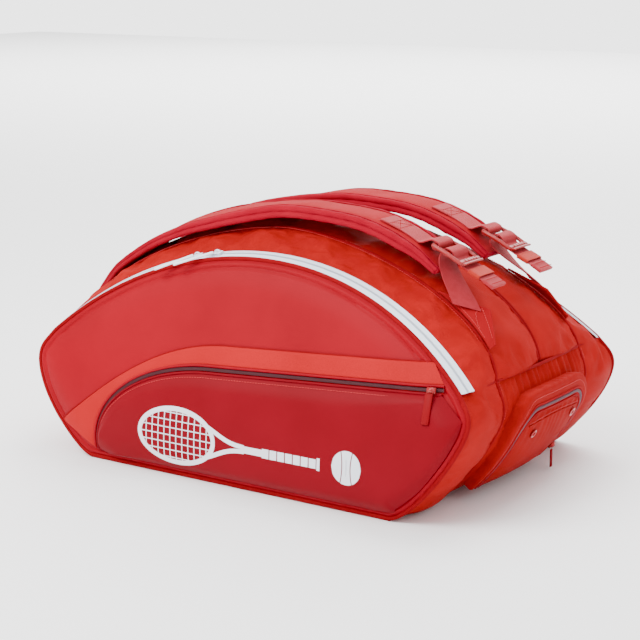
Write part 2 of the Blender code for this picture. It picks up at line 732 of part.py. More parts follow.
def make_end_pocket():
    high = end_pocket_height
    wall = 0.0022
    low = 0.0010
    profile = [(0, low), (0, high - 0.004), (0.003, high), (end_rim_width, high), (end_rim_width, high - wall),
               (0.0042, high - wall), (wall, high - 0.0048), (wall, low)]
    rings = np.array([[end_point(y, s, h) for y, s in end_outline(d)] for d, h in profile])
    rings = rings.transpose(1, 0, 2)
    count = len(profile)
    faces = [(k * count + j, k * count + (j + 1) % count, (k + 1) * count + (j + 1) % count, (k + 1) * count + j)
             for k in range(len(rings) - 1) for j in range(count)]
    for first in (0, (len(rings) - 1) * count):
        faces.append(tuple(first + k for k in (0, 1, 6, 7)))
        faces.append(tuple(first + k for k in (1, 2, 5, 6)))
        faces.append(tuple(first + k for k in (2, 3, 4, 5)))
    finish("end_pocket_rim", rings.reshape(-1, 3), faces, polyester())
    inner = end_rim_width + clearance
    ring_lines = [end_outline(d) for d in (inner, inner + end_tape_width)]
    grid = np.array([[end_point(y, s, high - 0.0006) for y, s in line] for line in ring_lines])
    base = np.array([[end_point(y, s, high - 0.0020) for y, s in line] for line in ring_lines])
    grid_solid("end_pocket_tape", grid, base, polyester())
    make_end_pocket_panel(inner + end_tape_width + clearance, high)


def make_end_pocket_panel(inset, high):
    """The gathered panel inside the zip, from its foot up."""
    line = end_outline(inset)
    half = len(line) // 2
    front = line[:half]
    rows = resample(front, 9)
    columns = np.linspace(-1, 1, 9)
    outer, inner = [], []
    foot, top = rows[0][1], rows[-1][1]
    for y, s in rows:
        up = (s - foot) / (top - foot)
        swell = end_panel_crown * math.sin(math.pi * min(1, max(0, up)) ** 0.8)
        outer.append([end_point(y * -c, s, high + swell * (1 - c ** 4)) for c in columns])
        inner.append([end_point(y * -c, s, high - 0.0020 + swell * (1 - c ** 4)) for c in columns])
    grid_solid("end_pocket_panel", np.array(outer), np.array(inner), polyester())


def end_panel_height(y, s):
    inset = end_rim_width + end_tape_width + 2 * clearance
    foot = end_pocket_foot
    top = end_pocket_top - inset
    up = (s - foot) / (top - foot)
    half = end_pocket_half_width - inset
    return end_pocket_height + end_panel_crown * math.sin(math.pi * up ** 0.8) * (1 - (y / half) ** 4)


def make_eyelets():
    """Vent eyelets: a flanged ring on the pocket panel."""
    for name, (y, s) in zip(("front", "rear"), eyelet_places):
        centre = end_point(y, s, end_panel_height(y, s) + 0.0014)
        below = end_point(y, s, end_panel_height(y, s))
        out = unit(centre - below)
        side = unit(np.cross((0, 1, 0), out))
        up = np.cross(out, side)
        count = 14
        profile = [(eyelet_radius, 0.0), (eyelet_radius * 0.92, 0.0010), (eyelet_hole * 1.25, 0.0014),
                   (eyelet_hole, 0.0008), (eyelet_hole, 0.0)]
        rings = [[centre + (side * math.cos(a) + up * math.sin(a)) * r + out * h for r, h in profile]
                 for a in np.linspace(0, 2 * math.pi, count, endpoint=False)]
        size = len(profile)
        faces = [(k * size + j, k * size + (j + 1) % size, ((k + 1) % count) * size + (j + 1) % size,
                  ((k + 1) % count) * size + j) for k in range(count) for j in range(size)]
        finish(f"vent_eyelet_{name}", np.array(rings).reshape(-1, 3), faces, red_plastic())


def end_slider_frame():
    """Where the end pocket's slider rests on its rear leg, and its axes: up the leg, across, and out."""
    y = end_pocket_half_width - end_rim_width - 0.0035
    s = end_pocket_foot + 0.026
    centre = end_point(y, s, end_pocket_height + 0.0006 + end_slider_size[2] / 2)
    up = unit(end_point(y, s + 0.030, 0) - end_point(y, s, 0))
    out = unit(np.cross(up, (0, 1.0, 0)))
    out = out if out[0] > 0 else -out
    return centre, up, unit(np.cross(out, up)), out


def end_puller_pivot():
    centre, up, _, out = end_slider_frame()
    return centre + out * (end_slider_size[2] / 2 + 0.0022) - up * 0.0056


def make_end_slider():
    centre, up, across, out = end_slider_frame()
    slider("end_pocket_slider", centre, (up, across, out), end_slider_size, (0.0070, 0.0024, 0.0026), red_plastic())
    put_origin("end_pocket_slider", centre)
    pivot = end_puller_pivot()
    block("end_pocket_puller", pivot - (0, 0, end_puller_size[0] / 2), np.eye(3),
          (end_puller_size[2], end_puller_size[1], end_puller_size[0]), red_plastic(), bevel=0.0005)
    put_origin("end_pocket_puller", pivot)


def put_flap_origins():
    """Each flap folds about its fold line, and the end pocket's about its foot."""
    for half, rear in (("front", False), ("rear", True)):
        for part in ("flap_panel", "flap_piping", "zip_tape_flap"):
            put_origin(f"{half}_{part}", turned(face_point(0.0, fold_z), rear))
    for name in ("end_pocket_panel", "vent_eyelet_front", "vent_eyelet_rear"):
        put_origin(name, end_point(0.0, end_pocket_foot, end_pocket_height))


# ---------------------------------------------------------------- shoulder straps

def mirrored(points, rear):
    return np.asarray(points, float) * ((1, -1, 1) if rear else (1, 1, 1))


def make_strap_pad(name, rear):
    """A padded strap: flat-bottomed with a domed top, thin and narrow where it starts, leaning outwards there."""
    path = smooth_path(strap_route, 27)
    lines = np.gradient(path, axis=0)
    normals = np.stack([-lines[:, 1], lines[:, 0]], axis=1)
    normals /= np.linalg.norm(normals, axis=1, keepdims=True)
    shares = np.linspace(0, 1, len(path))
    rings = []
    for (x, z), (nx, nz), share in zip(path, normals, shares):
        tip = min(1.0, (1 - share) / 0.10, share / 0.5)
        lean = strap_lean * min(1.0, max(0.0, (strap_lean_from - x) / 0.12))
        root = strap_root_width / 2 + (strap_width - strap_root_width) / 2 * min(1.0, share / 0.16)
        thick = strap_tip_thickness + (strap_thickness - strap_tip_thickness) * tip
        edge = strap_tip_thickness + (strap_edge_thickness - strap_tip_thickness) * tip
        half = min(root, strap_width / 2 * (0.86 + 0.14 * min(1.0, (1 - share) / 0.08)))
        drop = thick - edge
        section = [(-half, -drop / 2), (-half * 0.92, 0.0 - drop * 0.12), (-half * 0.45, 0), (half * 0.45, 0),
                   (half * 0.92, 0.0 - drop * 0.12), (half, -drop / 2), (half, -drop / 2 - edge * 0.85),
                   (half * 0.9, -thick), (-half * 0.9, -thick), (-half, -drop / 2 - edge * 0.85)]
        rings.append([(x + nx * (h + lean * y), -strap_y + y, z + nz * (h + lean * y)) for y, h in section])
    count = len(rings[0])
    faces = [(k * count + j, k * count + (j + 1) % count, (k + 1) * count + (j + 1) % count, (k + 1) * count + j)
             for k in range(len(rings) - 1) for j in range(count)]
    faces.append(tuple(range(count)))
    faces.append(tuple(range((len(rings) - 1) * count, len(rings) * count)))
    finish(name, mirrored(np.array(rings).reshape(-1, 3), rear), faces, polyester())


def lock_point(along, out, y=-strap_y):
    """A point in the ladder lock's own frame."""
    c, s = math.cos(lock_slope), math.sin(lock_slope)
    return np.array([lock_centre[0] + along * c - out * s, y, lock_centre[1] + along * s + out * c])


def ribbon(name, centres, sides, widths, thicknesses, surface, rear):
    """A flat strap: centre points, width directions, widths and thicknesses along it."""
    centres = np.asarray(centres, float)
    count = len(centres)
    sides = np.array([unit(s) for s in np.broadcast_to(sides, centres.shape)])
    widths = np.broadcast_to(widths, count)
    thicknesses = np.broadcast_to(thicknesses, count)
    normals = offset_along(centres, sides)
    rings = np.array([[c + s * w / 2 * a + n * t / 2 * b for a, b in ((-1, -1), (1, -1), (1, 1), (-1, 1))]
                      for c, s, n, w, t in zip(centres, sides, normals, widths, thicknesses)])
    faces = [(k * 4 + j, k * 4 + (j + 1) % 4, (k + 1) * 4 + (j + 1) % 4, (k + 1) * 4 + j)
             for k in range(count - 1) for j in range(4)]
    faces.append((0, 1, 2, 3))
    faces.append(tuple((count - 1) * 4 + j for j in range(4)))
    return finish(name, mirrored(rings.reshape(-1, 3), rear), faces, surface)


def make_pad_webbing(name, rear):
    """Webbing sewn on the pad, looped round the ladder lock's first bar."""
    path = smooth_path(strap_route, 60)
    lift = webbing_thickness / 2 + clearance
    on_pad = []
    for k in range(1, len(path) - 1):
        x, z = path[k]
        line = unit(path[k + 1] - path[k - 1])
        if box_stitch_x <= x <= 0.204:
            on_pad.append((x - line[1] * lift, -strap_y, z + line[0] * lift))
    bar = lock_bars[0]
    over = lock_thickness / 2 + webbing_thickness / 2 + 0.0005 + 0.0012
    loop = [lock_point(bar[0] - 0.002, over), lock_point(bar[1] - 0.001, over),
            lock_point(bar[1] + 0.0016, over * 0.5), lock_point(bar[1] + 0.0016, -over * 0.5),
            lock_point(bar[1] - 0.001, -over), lock_point(bar[0] + 0.0005, -over)]
    ribbon(name, np.vstack([on_pad[::2], loop]), (0, 1.0, 0), webbing_width, webbing_thickness, webbing(), rear)


def make_ladder_lock(name, rear):
    """Three bars between two side rails, with two slots."""
    half = lock_width / 2
    rails = [-half, -half + lock_rail, half - lock_rail, half]
    cuts = sorted(edge for bar in lock_bars for edge in bar)
    top = lock_thickness / 2

    def layer(h):
        return [[lock_point(a, h + 0.0012 * (1 - (y / half) ** 2), -strap_y + y) for y in rails] for a in cuts]

    upper, lower = np.array(layer(top)), np.array(layer(-top))
    solid_cells = {(r, c) for r in range(len(cuts) - 1) for c in range(3) if c != 1 or r % 2 == 0}
    columns = len(rails)
    count = len(cuts) * columns
    faces = []
    for r, c in sorted(solid_cells):
        a, b, d, e = r * columns + c, r * columns + c + 1, (r + 1) * columns + c + 1, (r + 1) * columns + c
        faces.append((a, b, d, e))
        faces.append((e + count, d + count, b + count, a + count))
        for (p, q), other in (((a, b), (r - 1, c)), ((d, e), (r + 1, c)), ((b, d), (r, c + 1)), ((e, a), (r, c - 1))):
            if other not in solid_cells:
                faces.append((q, p, p + count, q + count))
    finish(name, mirrored(np.vstack([upper.reshape(-1, 3), lower.reshape(-1, 3)]), rear), faces, red_plastic(),
           smooth=False)


def adjusting_route():
    """The adjusting webbing's stations: centre and width direction, from the tab, round the bar, to the tail."""
    bar = lock_bars[1]
    over = lock_thickness / 2 + webbing_thickness / 2 + 0.0006 + 0.0012
    under = lock_thickness / 2 + webbing_thickness / 2 + 0.0006
    mouth = tab_grid()[0]
    tab_top = (mouth[0] + mouth[2]) / 2
    tab_side = unit(mouth[2] - mouth[0])
    across = np.array([0, 1.0, 0])
    lift = unit(tab_top - np.array(tab_corners[2])) * (clearance + 0.0012)
    stations = [(tab_top + lift, tab_side),
                (tab_top + lift + (-0.006, 0.003, 0.010), unit(tab_side * 0.85 + across * 0.15)),
                ((0.2700, -0.087, 0.2935), unit(tab_side * 0.4 + across * 0.6)),
                ((0.2590, -0.074, 0.3035), unit(tab_side * 0.1 + across * 0.9)),
                (lock_point(bar[0] - 0.0005, -0.0105), across),
                (lock_point(bar[0] - 0.0034, -0.0020), across),
                (lock_point(bar[0] - 0.0026, 0.0034), across),
                (lock_point(bar[0] + 0.0006, over), across),
                (lock_point(bar[1] - 0.0006, over), across),
                (lock_point(bar[1] + 0.0030, 0.0020), across),
                (lock_point(bar[1] + 0.0060, -0.0030), across),
                (lock_point(lock_bars[2][0] - 0.0010, -under), across),
                (lock_point(lock_bars[2][1] + 0.002, -under), across)]
    return stations


def make_adjusting_webbing(name, rear):
    stations = adjusting_route()
    tail = [(lock_point(lock_bars[2][1] + reach, -0.0040 - drop), (0.0, 1.0, 0))
            for reach, drop in ((0.012, 0.0001), (0.022, 0.0004), (0.0315, 0.0010), (0.0325, 0.0012),
                                (tail_length, 0.0030))]
    everything = stations + tail
    centres = [c for c, _ in everything]
    sides = [s for _, s in everything]
    thick = [webbing_thickness] * (len(everything) - 2) + [tail_fold] * 2
    widths = [webbing_width] * len(everything)
    ribbon(name, centres, sides, widths, thick, webbing(), rear)


def make_keeper(name, rear):
    """An elastic loop that holds the tail."""
    start = lock_bars[2][1] + 0.009
    half = webbing_width / 2 + 0.0006
    inner = webbing_thickness / 2 + 0.0010
    outer_half, outer = half + keeper_thickness, inner + keeper_thickness
    rings = []
    for along in (start, start + keeper_length):
        mid = -0.0042
        for w, h in ((outer_half, outer), (half, inner)):
            rings.append([lock_point(along, mid + b * h, -strap_y + a * w)
                          for a, b in ((-1, -1), (1, -1), (1, 1), (-1, 1))])
    vertices = np.array(rings).reshape(-1, 3)
    faces = []
    for j in range(4):
        k = (j + 1) % 4
        faces.append((j, k, 8 + k, 8 + j))
        faces.append((4 + k, 4 + j, 12 + j, 12 + k))
        faces.append((k, j, 4 + j, 4 + k))
        faces.append((8 + j, 8 + k, 12 + k, 12 + j))
    finish(name, mirrored(vertices, rear), faces, webbing(), smooth=False)


def tab_grid():
    """The anchor tab's middle surface: from the webbing's mouth down to the tip, one side on the seam."""
    lift = piping_radius + tab_thickness / 2 + clearance + 0.0004
    right = junction_arch[len(junction_arch) // 2:]
    rows = []
    for share in np.linspace(0, 1, 6):
        z = tab_corners[0][2] + (tab_corners[2][2] - tab_corners[0][2]) * share
        seam = np.array([np.interp(-z, -right[:, 2], right[:, k]) for k in range(3)])
        seam = seam + unit(seam - (0, seam[1], 0.0)) * lift
        outer = np.array(tab_corners[1]) * (1 - share) + (seam + (0.0035, 0.006, 0.0045)) * share
        rows.append([seam + (outer - seam) * t for t in (0, 0.5, 1)])
    return np.array(rows)


def make_anchor_tab(name, rear):
    """A folded tab of fabric sewn in the junction seam, which the webbing hangs from."""
    grid = tab_grid()
    normals = grid_normals(grid, (0, 0, 0.12)) * tab_thickness / 2
    grid_solid(name, mirrored(grid + normals, rear), mirrored(grid - normals, rear), webbing())


def make_strap(half, rear):
    make_strap_pad(f"{half}_strap_pad", rear)
    make_pad_webbing(f"{half}_pad_webbing", rear)
    make_ladder_lock(f"{half}_ladder_lock", rear)
    make_adjusting_webbing(f"{half}_adjusting_webbing", rear)
    make_keeper(f"{half}_webbing_keeper", rear)
    make_anchor_tab(f"{half}_anchor_tab", rear)


def make_bag():
    clear_scene()
    make_base()
    for half, rear in (("front", False), ("rear", True)):
        make_lower_panel(f"{half}_lower_panel", rear)
        make_flap_panel(f"{half}_flap_panel", rear)
        make_gusset(f"{half}_gusset", rear)
        make_centre_panel(f"{half}_centre_panel", rear)
        make_zip_tapes(half, rear)
        make_sliders(half, rear)
        make_strap(half, rear)
    make_end_panel("right_end_panel", False)
    make_end_panel("left_end_panel", True)
    make_pipings()
    make_divider()
    make_front_pocket()
    make_pocket_slider()
    make_end_pocket()
    make_eyelets()
    make_end_slider()
    put_flap_origins()


make_bag()
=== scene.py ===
import math
import bmesh
import bpy
import numpy as np
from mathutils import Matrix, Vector
from mathutils.bvhtree import BVHTree


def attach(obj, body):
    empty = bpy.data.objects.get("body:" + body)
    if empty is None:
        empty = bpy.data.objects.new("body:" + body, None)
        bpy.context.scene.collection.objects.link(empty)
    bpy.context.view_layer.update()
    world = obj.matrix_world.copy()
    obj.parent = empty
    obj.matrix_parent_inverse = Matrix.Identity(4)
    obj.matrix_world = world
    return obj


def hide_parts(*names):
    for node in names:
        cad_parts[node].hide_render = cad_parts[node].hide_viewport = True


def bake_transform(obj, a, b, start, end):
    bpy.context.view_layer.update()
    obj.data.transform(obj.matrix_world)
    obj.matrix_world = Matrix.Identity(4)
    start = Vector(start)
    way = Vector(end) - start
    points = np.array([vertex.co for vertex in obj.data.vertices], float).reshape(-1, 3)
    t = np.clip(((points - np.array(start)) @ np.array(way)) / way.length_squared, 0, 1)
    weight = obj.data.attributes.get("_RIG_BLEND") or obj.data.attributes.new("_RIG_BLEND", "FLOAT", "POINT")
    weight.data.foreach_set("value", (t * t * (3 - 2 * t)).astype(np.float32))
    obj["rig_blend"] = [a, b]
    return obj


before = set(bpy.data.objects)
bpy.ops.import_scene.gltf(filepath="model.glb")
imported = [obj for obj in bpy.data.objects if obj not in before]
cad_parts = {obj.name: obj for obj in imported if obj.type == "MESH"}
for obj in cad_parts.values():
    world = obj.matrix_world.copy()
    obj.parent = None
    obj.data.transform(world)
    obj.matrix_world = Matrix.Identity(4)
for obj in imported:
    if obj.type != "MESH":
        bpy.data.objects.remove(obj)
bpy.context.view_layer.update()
print("frame loaded")

# The bag's main lines, in metres, as the CAD has them
shape = {
    "endX": 0.338, "endY": -0.200, "endZ": 0.172, "topZ": 0.302, "lean": math.radians(22),
    "footY": -0.225, "baseHalf": 0.250, "baseZ": 0.0038, "sideX": 0.357, "sideZ": 0.138,
    "junctionY": -0.120, "junctionTop": (-0.082, 0.338), "junctionPower": 1.65,
    "centreTop": 0.346, "centrePower": 1.75, "seamX": 0.345, "seamZ": 0.176,
    "zipRise": 0.62, "coil": 0.0130, "foldZ": 0.214,
}
zipUp = np.array([0, math.sin(shape["lean"]), math.cos(shape["lean"])])
zipAxis = np.array([0, math.cos(shape["lean"]), -math.sin(shape["lean"])])
zipHeight = (shape["topZ"] - shape["endZ"]) / math.cos(shape["lean"])
zipRadius = (shape["endX"] ** 2 + zipHeight ** 2) / (2 * zipHeight)
zipSpan = math.asin(shape["endX"] / zipRadius)
zipCentre = np.array([0, shape["endY"] + zipHeight * math.sin(shape["lean"]),
                      shape["topZ"]]) - zipRadius * zipUp
zipRun = math.sqrt(1 - shape["zipRise"] ** 2)
foldAngle = math.acos((shape["foldZ"] - zipCentre[2]) / (zipRadius * math.cos(shape["lean"])))
faceRise = shape["endY"] - shape["footY"]
turnZ = shape["endZ"] - 2 * faceRise / math.tan(shape["lean"])
middle = np.array([0, 0, 0.12])
halves = (("front", False), ("rear", True))
ends = (("right", False), ("left", True))
random = np.random.default_rng(4)


# Curves

def unit(v):
    v = np.asarray(v, float)
    return v / np.maximum(np.linalg.norm(v, axis=-1, keepdims=True), 1e-12)


def resample(points, count):
    points = np.asarray(points, float)
    run = np.concatenate([[0], np.cumsum(np.linalg.norm(np.diff(points, axis=0), axis=1))])
    at = np.linspace(0, run[-1], count)
    return np.stack([np.interp(at, run, points[:, k]) for k in range(points.shape[1])], axis=1)


def bezier(a, b, c, d, count=60):
    t = np.linspace(0, 1, count)[:, None]
    a, b, c, d = map(np.asarray, (a, b, c, d))
    return (1 - t) ** 3 * a + 3 * t * (1 - t) ** 2 * b + 3 * t ** 2 * (1 - t) * c + t ** 3 * d


def smoothPath(points, count):
    points = np.asarray(points, float)
    padded = np.vstack([2 * points[0] - points[1], points, 2 * points[-1] - points[-2]])
    path = []
    for k in range(1, len(padded) - 2):
        a, b, c, d = padded[k - 1:k + 3]
        for t in np.linspace(0, 1, 16, endpoint=False):
            path.append(0.5 * (2 * b + (c - a) * t + (2 * a - 5 * b + 4 * c - d) * t ** 2
                               + (3 * b - a - 3 * c + d) * t ** 3))
    path.append(points[-1])
    return resample(path, count)


def ease(t):
    t = np.clip(t, 0, 1)
    return t * t * (3 - 2 * t)


def rise(t):
    return np.sin(np.clip(t, 0, 1) * math.pi / 2)


def zipPoint(angle, across, height=0.0):
    angle, across, height = np.broadcast_arrays(np.asarray(angle, float), across, height)
    out = np.sin(angle)[..., None] * np.array([1.0, 0, 0]) + np.cos(angle)[..., None] * zipUp
    normal = zipRun * out - shape["zipRise"] * zipAxis
    return (zipCentre + zipAxis * (zipRun * across)[..., None]
            + out * (zipRadius + shape["zipRise"] * across)[..., None] + normal * height[..., None])


def edgeY(z):
    z = np.asarray(z, float)
    curve = shape["footY"] + faceRise * ((np.maximum(z, turnZ) - turnZ) / (shape["endZ"] - turnZ)) ** 2
    return np.where(z > shape["endZ"], shape["endY"] + (z - shape["endZ"]) * math.tan(shape["lean"]), curve)


def lowerSide(topX, topZ, leanOut, count):
    upper = bezier((topX, topZ), (topX + leanOut, topZ - 0.014), (shape["sideX"], shape["sideZ"] + 0.014),
                   (shape["sideX"], shape["sideZ"]), 30)
    lower = bezier((shape["sideX"], shape["sideZ"]), (shape["sideX"], shape["sideZ"] - 0.038),
                   (shape["baseHalf"] + 0.030, shape["baseZ"]), (shape["baseHalf"], shape["baseZ"]), 60)
    return resample(np.vstack([upper, lower[1:]]), count)


archSteps, sideSteps = 181, 61


def archGuide(endY, topY, topZ, power):
    t = np.linspace(-1, 1, 721) * math.pi / 2
    x = shape["seamX"] * np.sign(t) * np.abs(np.sin(t)) ** (2 / power)
    up = np.abs(np.cos(t)) ** (2 / power)
    return resample(np.stack([x, endY + (topY - endY) * up, shape["seamZ"] + (topZ - shape["seamZ"]) * up],
                             axis=1),
                    archSteps)


def wholeGuide(arch, sideY, leanOut):
    side = lowerSide(arch[-1][0], arch[-1][2], leanOut, sideSteps)
    down = np.stack([side[:, 0], sideY(side[:, 1]), side[:, 1]], axis=1)
    return np.vstack([(down * (-1, 1, 1))[::-1][:-1], arch, down[1:]])


edgeGuide = wholeGuide(zipPoint(np.linspace(-zipSpan, zipSpan, archSteps), 0.0), edgeY, 0.010)
junctionArch = archGuide(shape["junctionY"], *shape["junctionTop"], shape["junctionPower"])
junctionGuide = wholeGuide(junctionArch, lambda z: np.full_like(z, shape["junctionY"]), 0.005)
centreArch = archGuide(0.0, 0.0, shape["centreTop"], shape["centrePower"])
seamFirst = sideSteps - 1
seamLast = seamFirst + archSteps - 1
outline = resample(np.vstack([edgeGuide[:, [0, 2]], edgeGuide[:1, [0, 2]]]), 361)[:-1]


# Distance of face points from the panel's outline
def edgeDistance(x, z):
    points = np.stack([np.ravel(x), np.ravel(z)], axis=1)
    nearest = np.full(len(points), 9.0)
    for a, b in zip(outline, np.roll(outline, -1, axis=0)):
        d = b - a
        t = np.clip(((points - a) @ d) / (d @ d), 0, 1)
        nearest = np.minimum(nearest, np.linalg.norm(points - a - t[:, None] * d, axis=1))
    return nearest.reshape(np.shape(x))


moulding = {"bulge": 0.0072, "run": 0.040, "rimAt": 0.0066, "rim": 0.0022, "grooveAt": 0.0118,
            "groove": 0.0018}


# A point on the front face: its height above the edge follows the moulding
def facePoint(x, z, out=0.0, rim=False):
    d = edgeDistance(x, z)
    bulge = moulding["bulge"] * rise(d / moulding["run"])
    if rim:
        bulge = bulge + moulding["rim"] * np.exp(-((d - moulding["rimAt"]) / 0.0024) ** 2)
        bulge = bulge - moulding["groove"] * np.exp(-((d - moulding["grooveAt"]) / 0.0018) ** 2)
    return np.stack([x, edgeY(z) - bulge - out, z], axis=-1)


# Materials

# sRGB hex to linear
def linear(hexCode):
    values = [int(hexCode[k:k + 2], 16) / 255 for k in (1, 3, 5)]
    return tuple(v / 12.92 if v <= 0.04045 else ((v + 0.055) / 1.055) ** 2.4 for v in values) + (1.0,)


# One node with its settings, socket values and links from (node, output)
def addNode(tree, kind, settings=None, links=None):
    made = tree.nodes.new(kind)
    for key, value in (settings or {}).items():
        if isinstance(key, str) and hasattr(made, key):
            setattr(made, key, value)
        else:
            made.inputs[key].default_value = value
    for key, (source, output) in (links or {}).items():
        tree.links.new(source.outputs[output], made.inputs[key])
    return made


def baseMaterial(name, settings):
    made = bpy.data.materials.new(name)
    made.use_nodes = True
    tree = made.node_tree
    shader = tree.nodes["Principled BSDF"]
    for key, value in settings.items():
        shader.inputs[key].default_value = value
    return made, tree, shader


def colorVariation(tree, shader, low, high, scale, source, detail=3.0):
    noise = addNode(tree, "ShaderNodeTexNoise", {"Scale": scale, "Detail": detail, "Roughness": 0.55},
                    {"Vector": source})
    ramp = addNode(tree, "ShaderNodeMapRange", {"From Min": 0.35, "From Max": 0.65},
                   {"Value": (noise, "Fac")})
    mix = addNode(tree, "ShaderNodeMix", {"data_type": "RGBA"}, {0: (ramp, "Result")})
    mix.inputs[6].default_value = low
    mix.inputs[7].default_value = high
    tree.links.new(mix.outputs[2], shader.inputs["Base Color"])


# Woven synthetic cloth: threads both ways in the piece's own UV, in metres
def fabric(name, colors, weave, strength, rough=0.62, sheen=0.25, soft=0.0):
    made, tree, shader = baseMaterial(name,
                                      {"Roughness": rough, "Sheen Weight": sheen * 0.06,
                                       "Sheen Roughness": 0.4,
                                             "Sheen Tint": linear("#FF7060"), "Specular IOR Level": 0.03})
    place = addNode(tree, "ShaderNodeTexCoord")
    colorVariation(tree, shader, linear(colors[0]), linear(colors[1]), 28.0, (place, "Object"))
    waves = []
    for direction in ("X", "Y"):
        waves.append(addNode(tree, "ShaderNodeTexWave", {"bands_direction": direction, "Scale": 0.314 / weave,
                                                         "Distortion": 0.6, "Detail": 1.0,
                                                         "Detail Scale": 2.0},
                             {"Vector": (place, "UV")}))
    both = addNode(tree, "ShaderNodeMath", {"operation": "MAXIMUM"},
                   {0: (waves[0], "Fac"), 1: (waves[1], "Fac")})
    fine = addNode(tree, "ShaderNodeBump", {"Strength": strength, "Distance": 0.0003},
                   {"Height": (both, "Value")})
    if soft:
        creases = addNode(tree, "ShaderNodeTexNoise",
                          {"Scale": 22.0, "Detail": 3.0, "Roughness": 0.5, "Distortion": 0.8},
                          {"Vector": (place, "Object")})
        folds = addNode(tree, "ShaderNodeBump", {"Strength": soft, "Distance": 0.004},
                        {"Height": (creases, "Fac"), "Normal": (fine, "Normal")})
        tree.links.new(folds.outputs["Normal"], shader.inputs["Normal"])
    else:
        tree.links.new(fine.outputs["Normal"], shader.inputs["Normal"])
    return made


# Foam-backed polyurethane with a fine leather grain
def moulded(name, colors, rough, grain=0.0009, strength=0.25):
    made, tree, shader = baseMaterial(name,
                                      {"Roughness": rough, "Specular IOR Level": 0.07, "Coat Weight": 0.0,
                                             "Coat Roughness": 0.35})
    place = addNode(tree, "ShaderNodeTexCoord")
    colorVariation(tree, shader, linear(colors[0]), linear(colors[1]), 9.0, (place, "Object"), 2.0)
    cells = addNode(tree, "ShaderNodeTexVoronoi",
                    {"feature": "SMOOTH_F1", "Scale": 1.0 / grain, "Smoothness": 0.6},
                    {"Vector": (place, "Object")})
    bump = addNode(tree, "ShaderNodeBump", {"Strength": strength, "Distance": 0.00015},
                   {"Height": (cells, "Distance")})
    tree.links.new(bump.outputs["Normal"], shader.inputs["Normal"])
    return made


# Webbing: ribs across its length, in the piece's own UV
def ribbed(name, colors, pitch, strength, rough=0.7, along="Y"):
    made, tree, shader = baseMaterial(name, {"Roughness": rough, "Sheen Weight": 0.1, "Sheen Roughness": 0.5,
                                             "Sheen Tint": linear("#FF8070"), "Specular IOR Level": 0.3})
    place = addNode(tree, "ShaderNodeTexCoord")
    colorVariation(tree, shader, linear(colors[0]), linear(colors[1]), 160.0, (place, "Object"), 2.0)
    wave = addNode(tree, "ShaderNodeTexWave",
                   {"bands_direction": along, "Scale": 0.314 / pitch, "Distortion": 0.3},
                   {"Vector": (place, "UV")})
    bump = addNode(tree, "ShaderNodeBump", {"Strength": strength, "Distance": 0.0004},
                   {"Height": (wave, "Fac")})
    tree.links.new(bump.outputs["Normal"], shader.inputs["Normal"])
    return made


def plain(name, color, rough, metallic=0.0, coat=0.0):
    made, tree, shader = baseMaterial(name,
                                      {"Base Color": linear(color), "Roughness": rough, "Metallic": metallic,
                                             "Coat Weight": coat, "Coat Roughness": 0.12})
    place = addNode(tree, "ShaderNodeTexCoord")
    noise = addNode(tree, "ShaderNodeTexNoise", {"Scale": 350.0, "Detail": 2.0},
                    {"Vector": (place, "Object")})
    spread = addNode(tree, "ShaderNodeMapRange", {"To Min": rough * 0.85, "To Max": min(1.0, rough * 1.2)},
                     {"Value": (noise, "Fac")})
    tree.links.new(spread.outputs["Result"], shader.inputs["Roughness"])
    return made


mats = {
    "panel": moulded("moulded_polyurethane", ("#8A0014", "#920017"), 0.5),  # satin foam-backed shell
    "pocket": moulded("pocket_polyurethane", ("#730010", "#790013"), 0.5),
    "band": moulded("embossed_polyurethane", ("#A41016", "#AC141A"), 0.6, grain=0.0024, strength=0.9),
    "cloth": fabric("polyester_cloth", ("#96100E", "#A01414"), 0.0009, 0.5, soft=0.04),
    # The ends' cloth is the same polyester made a little darker: the darkening is painted shade of the ends,
    # which turn away from the key light
    "shadedEndCloth": fabric("polyester_cloth_painted_end_shade", ("#8E0C0C", "#98100E"), 0.0009, 0.5, soft=0.06),
    "piping": fabric("bound_piping", ("#7E0610", "#860812"), 0.0008, 0.4),
    "dark": fabric("inner_lining", ("#9A0A14", "#A81018"), 0.0010, 0.3, sheen=0.05),
    "padTop": fabric("pad_mesh_cloth", ("#960E18", "#9E121E"), 0.0012, 0.6, soft=0.02),
    "padEdge": fabric("pad_binding_tape", ("#920620", "#9A0A24"), 0.0008, 0.5),
    "webbing": ribbed("polyester_webbing", ("#981220", "#A01A28"), 0.0016, 0.7),
    "tab": fabric("tab_cloth", ("#920E16", "#9A121A"), 0.0010, 0.5),
    "keeper": ribbed("elastic", ("#A41806", "#AC1C0A"), 0.0010, 0.5, along="X"),
    "lock": plain("acetal_plastic", "#94060C", 0.38),
    "eyelet": plain("enamelled_metal", "#A0060E", 0.24, metallic=0.6, coat=0.2),
    "white": plain("white_coated_tape", "#E6EDF8", 0.42),
    "whitePlastic": plain("white_acetal", "#E9EFF8", 0.30),
    # Grey for the main zip's teeth row: painted shade of the groove where the two white tapes meet
    "groove": plain("zip_groove_painted_shade", "#B9C0CC", 0.55),
    "coil": plain("dark_red_coil", "#4A0818", 0.5),
    "endCoil": plain("reverse_coil", "#5A2A38", 0.5),
    "puller": moulded("rubber_puller", ("#78040E", "#800612"), 0.55, grain=0.0016, strength=0.9),
    "print": plain("screen_print", "#E4E7EF", 0.5),
    "thread": plain("red_thread", "#C01822", 0.6),
    "base": fabric("coated_base_cloth", ("#8E0B16", "#9A101C"), 0.0011, 0.4, sheen=0.05),
}


# Mesh makers

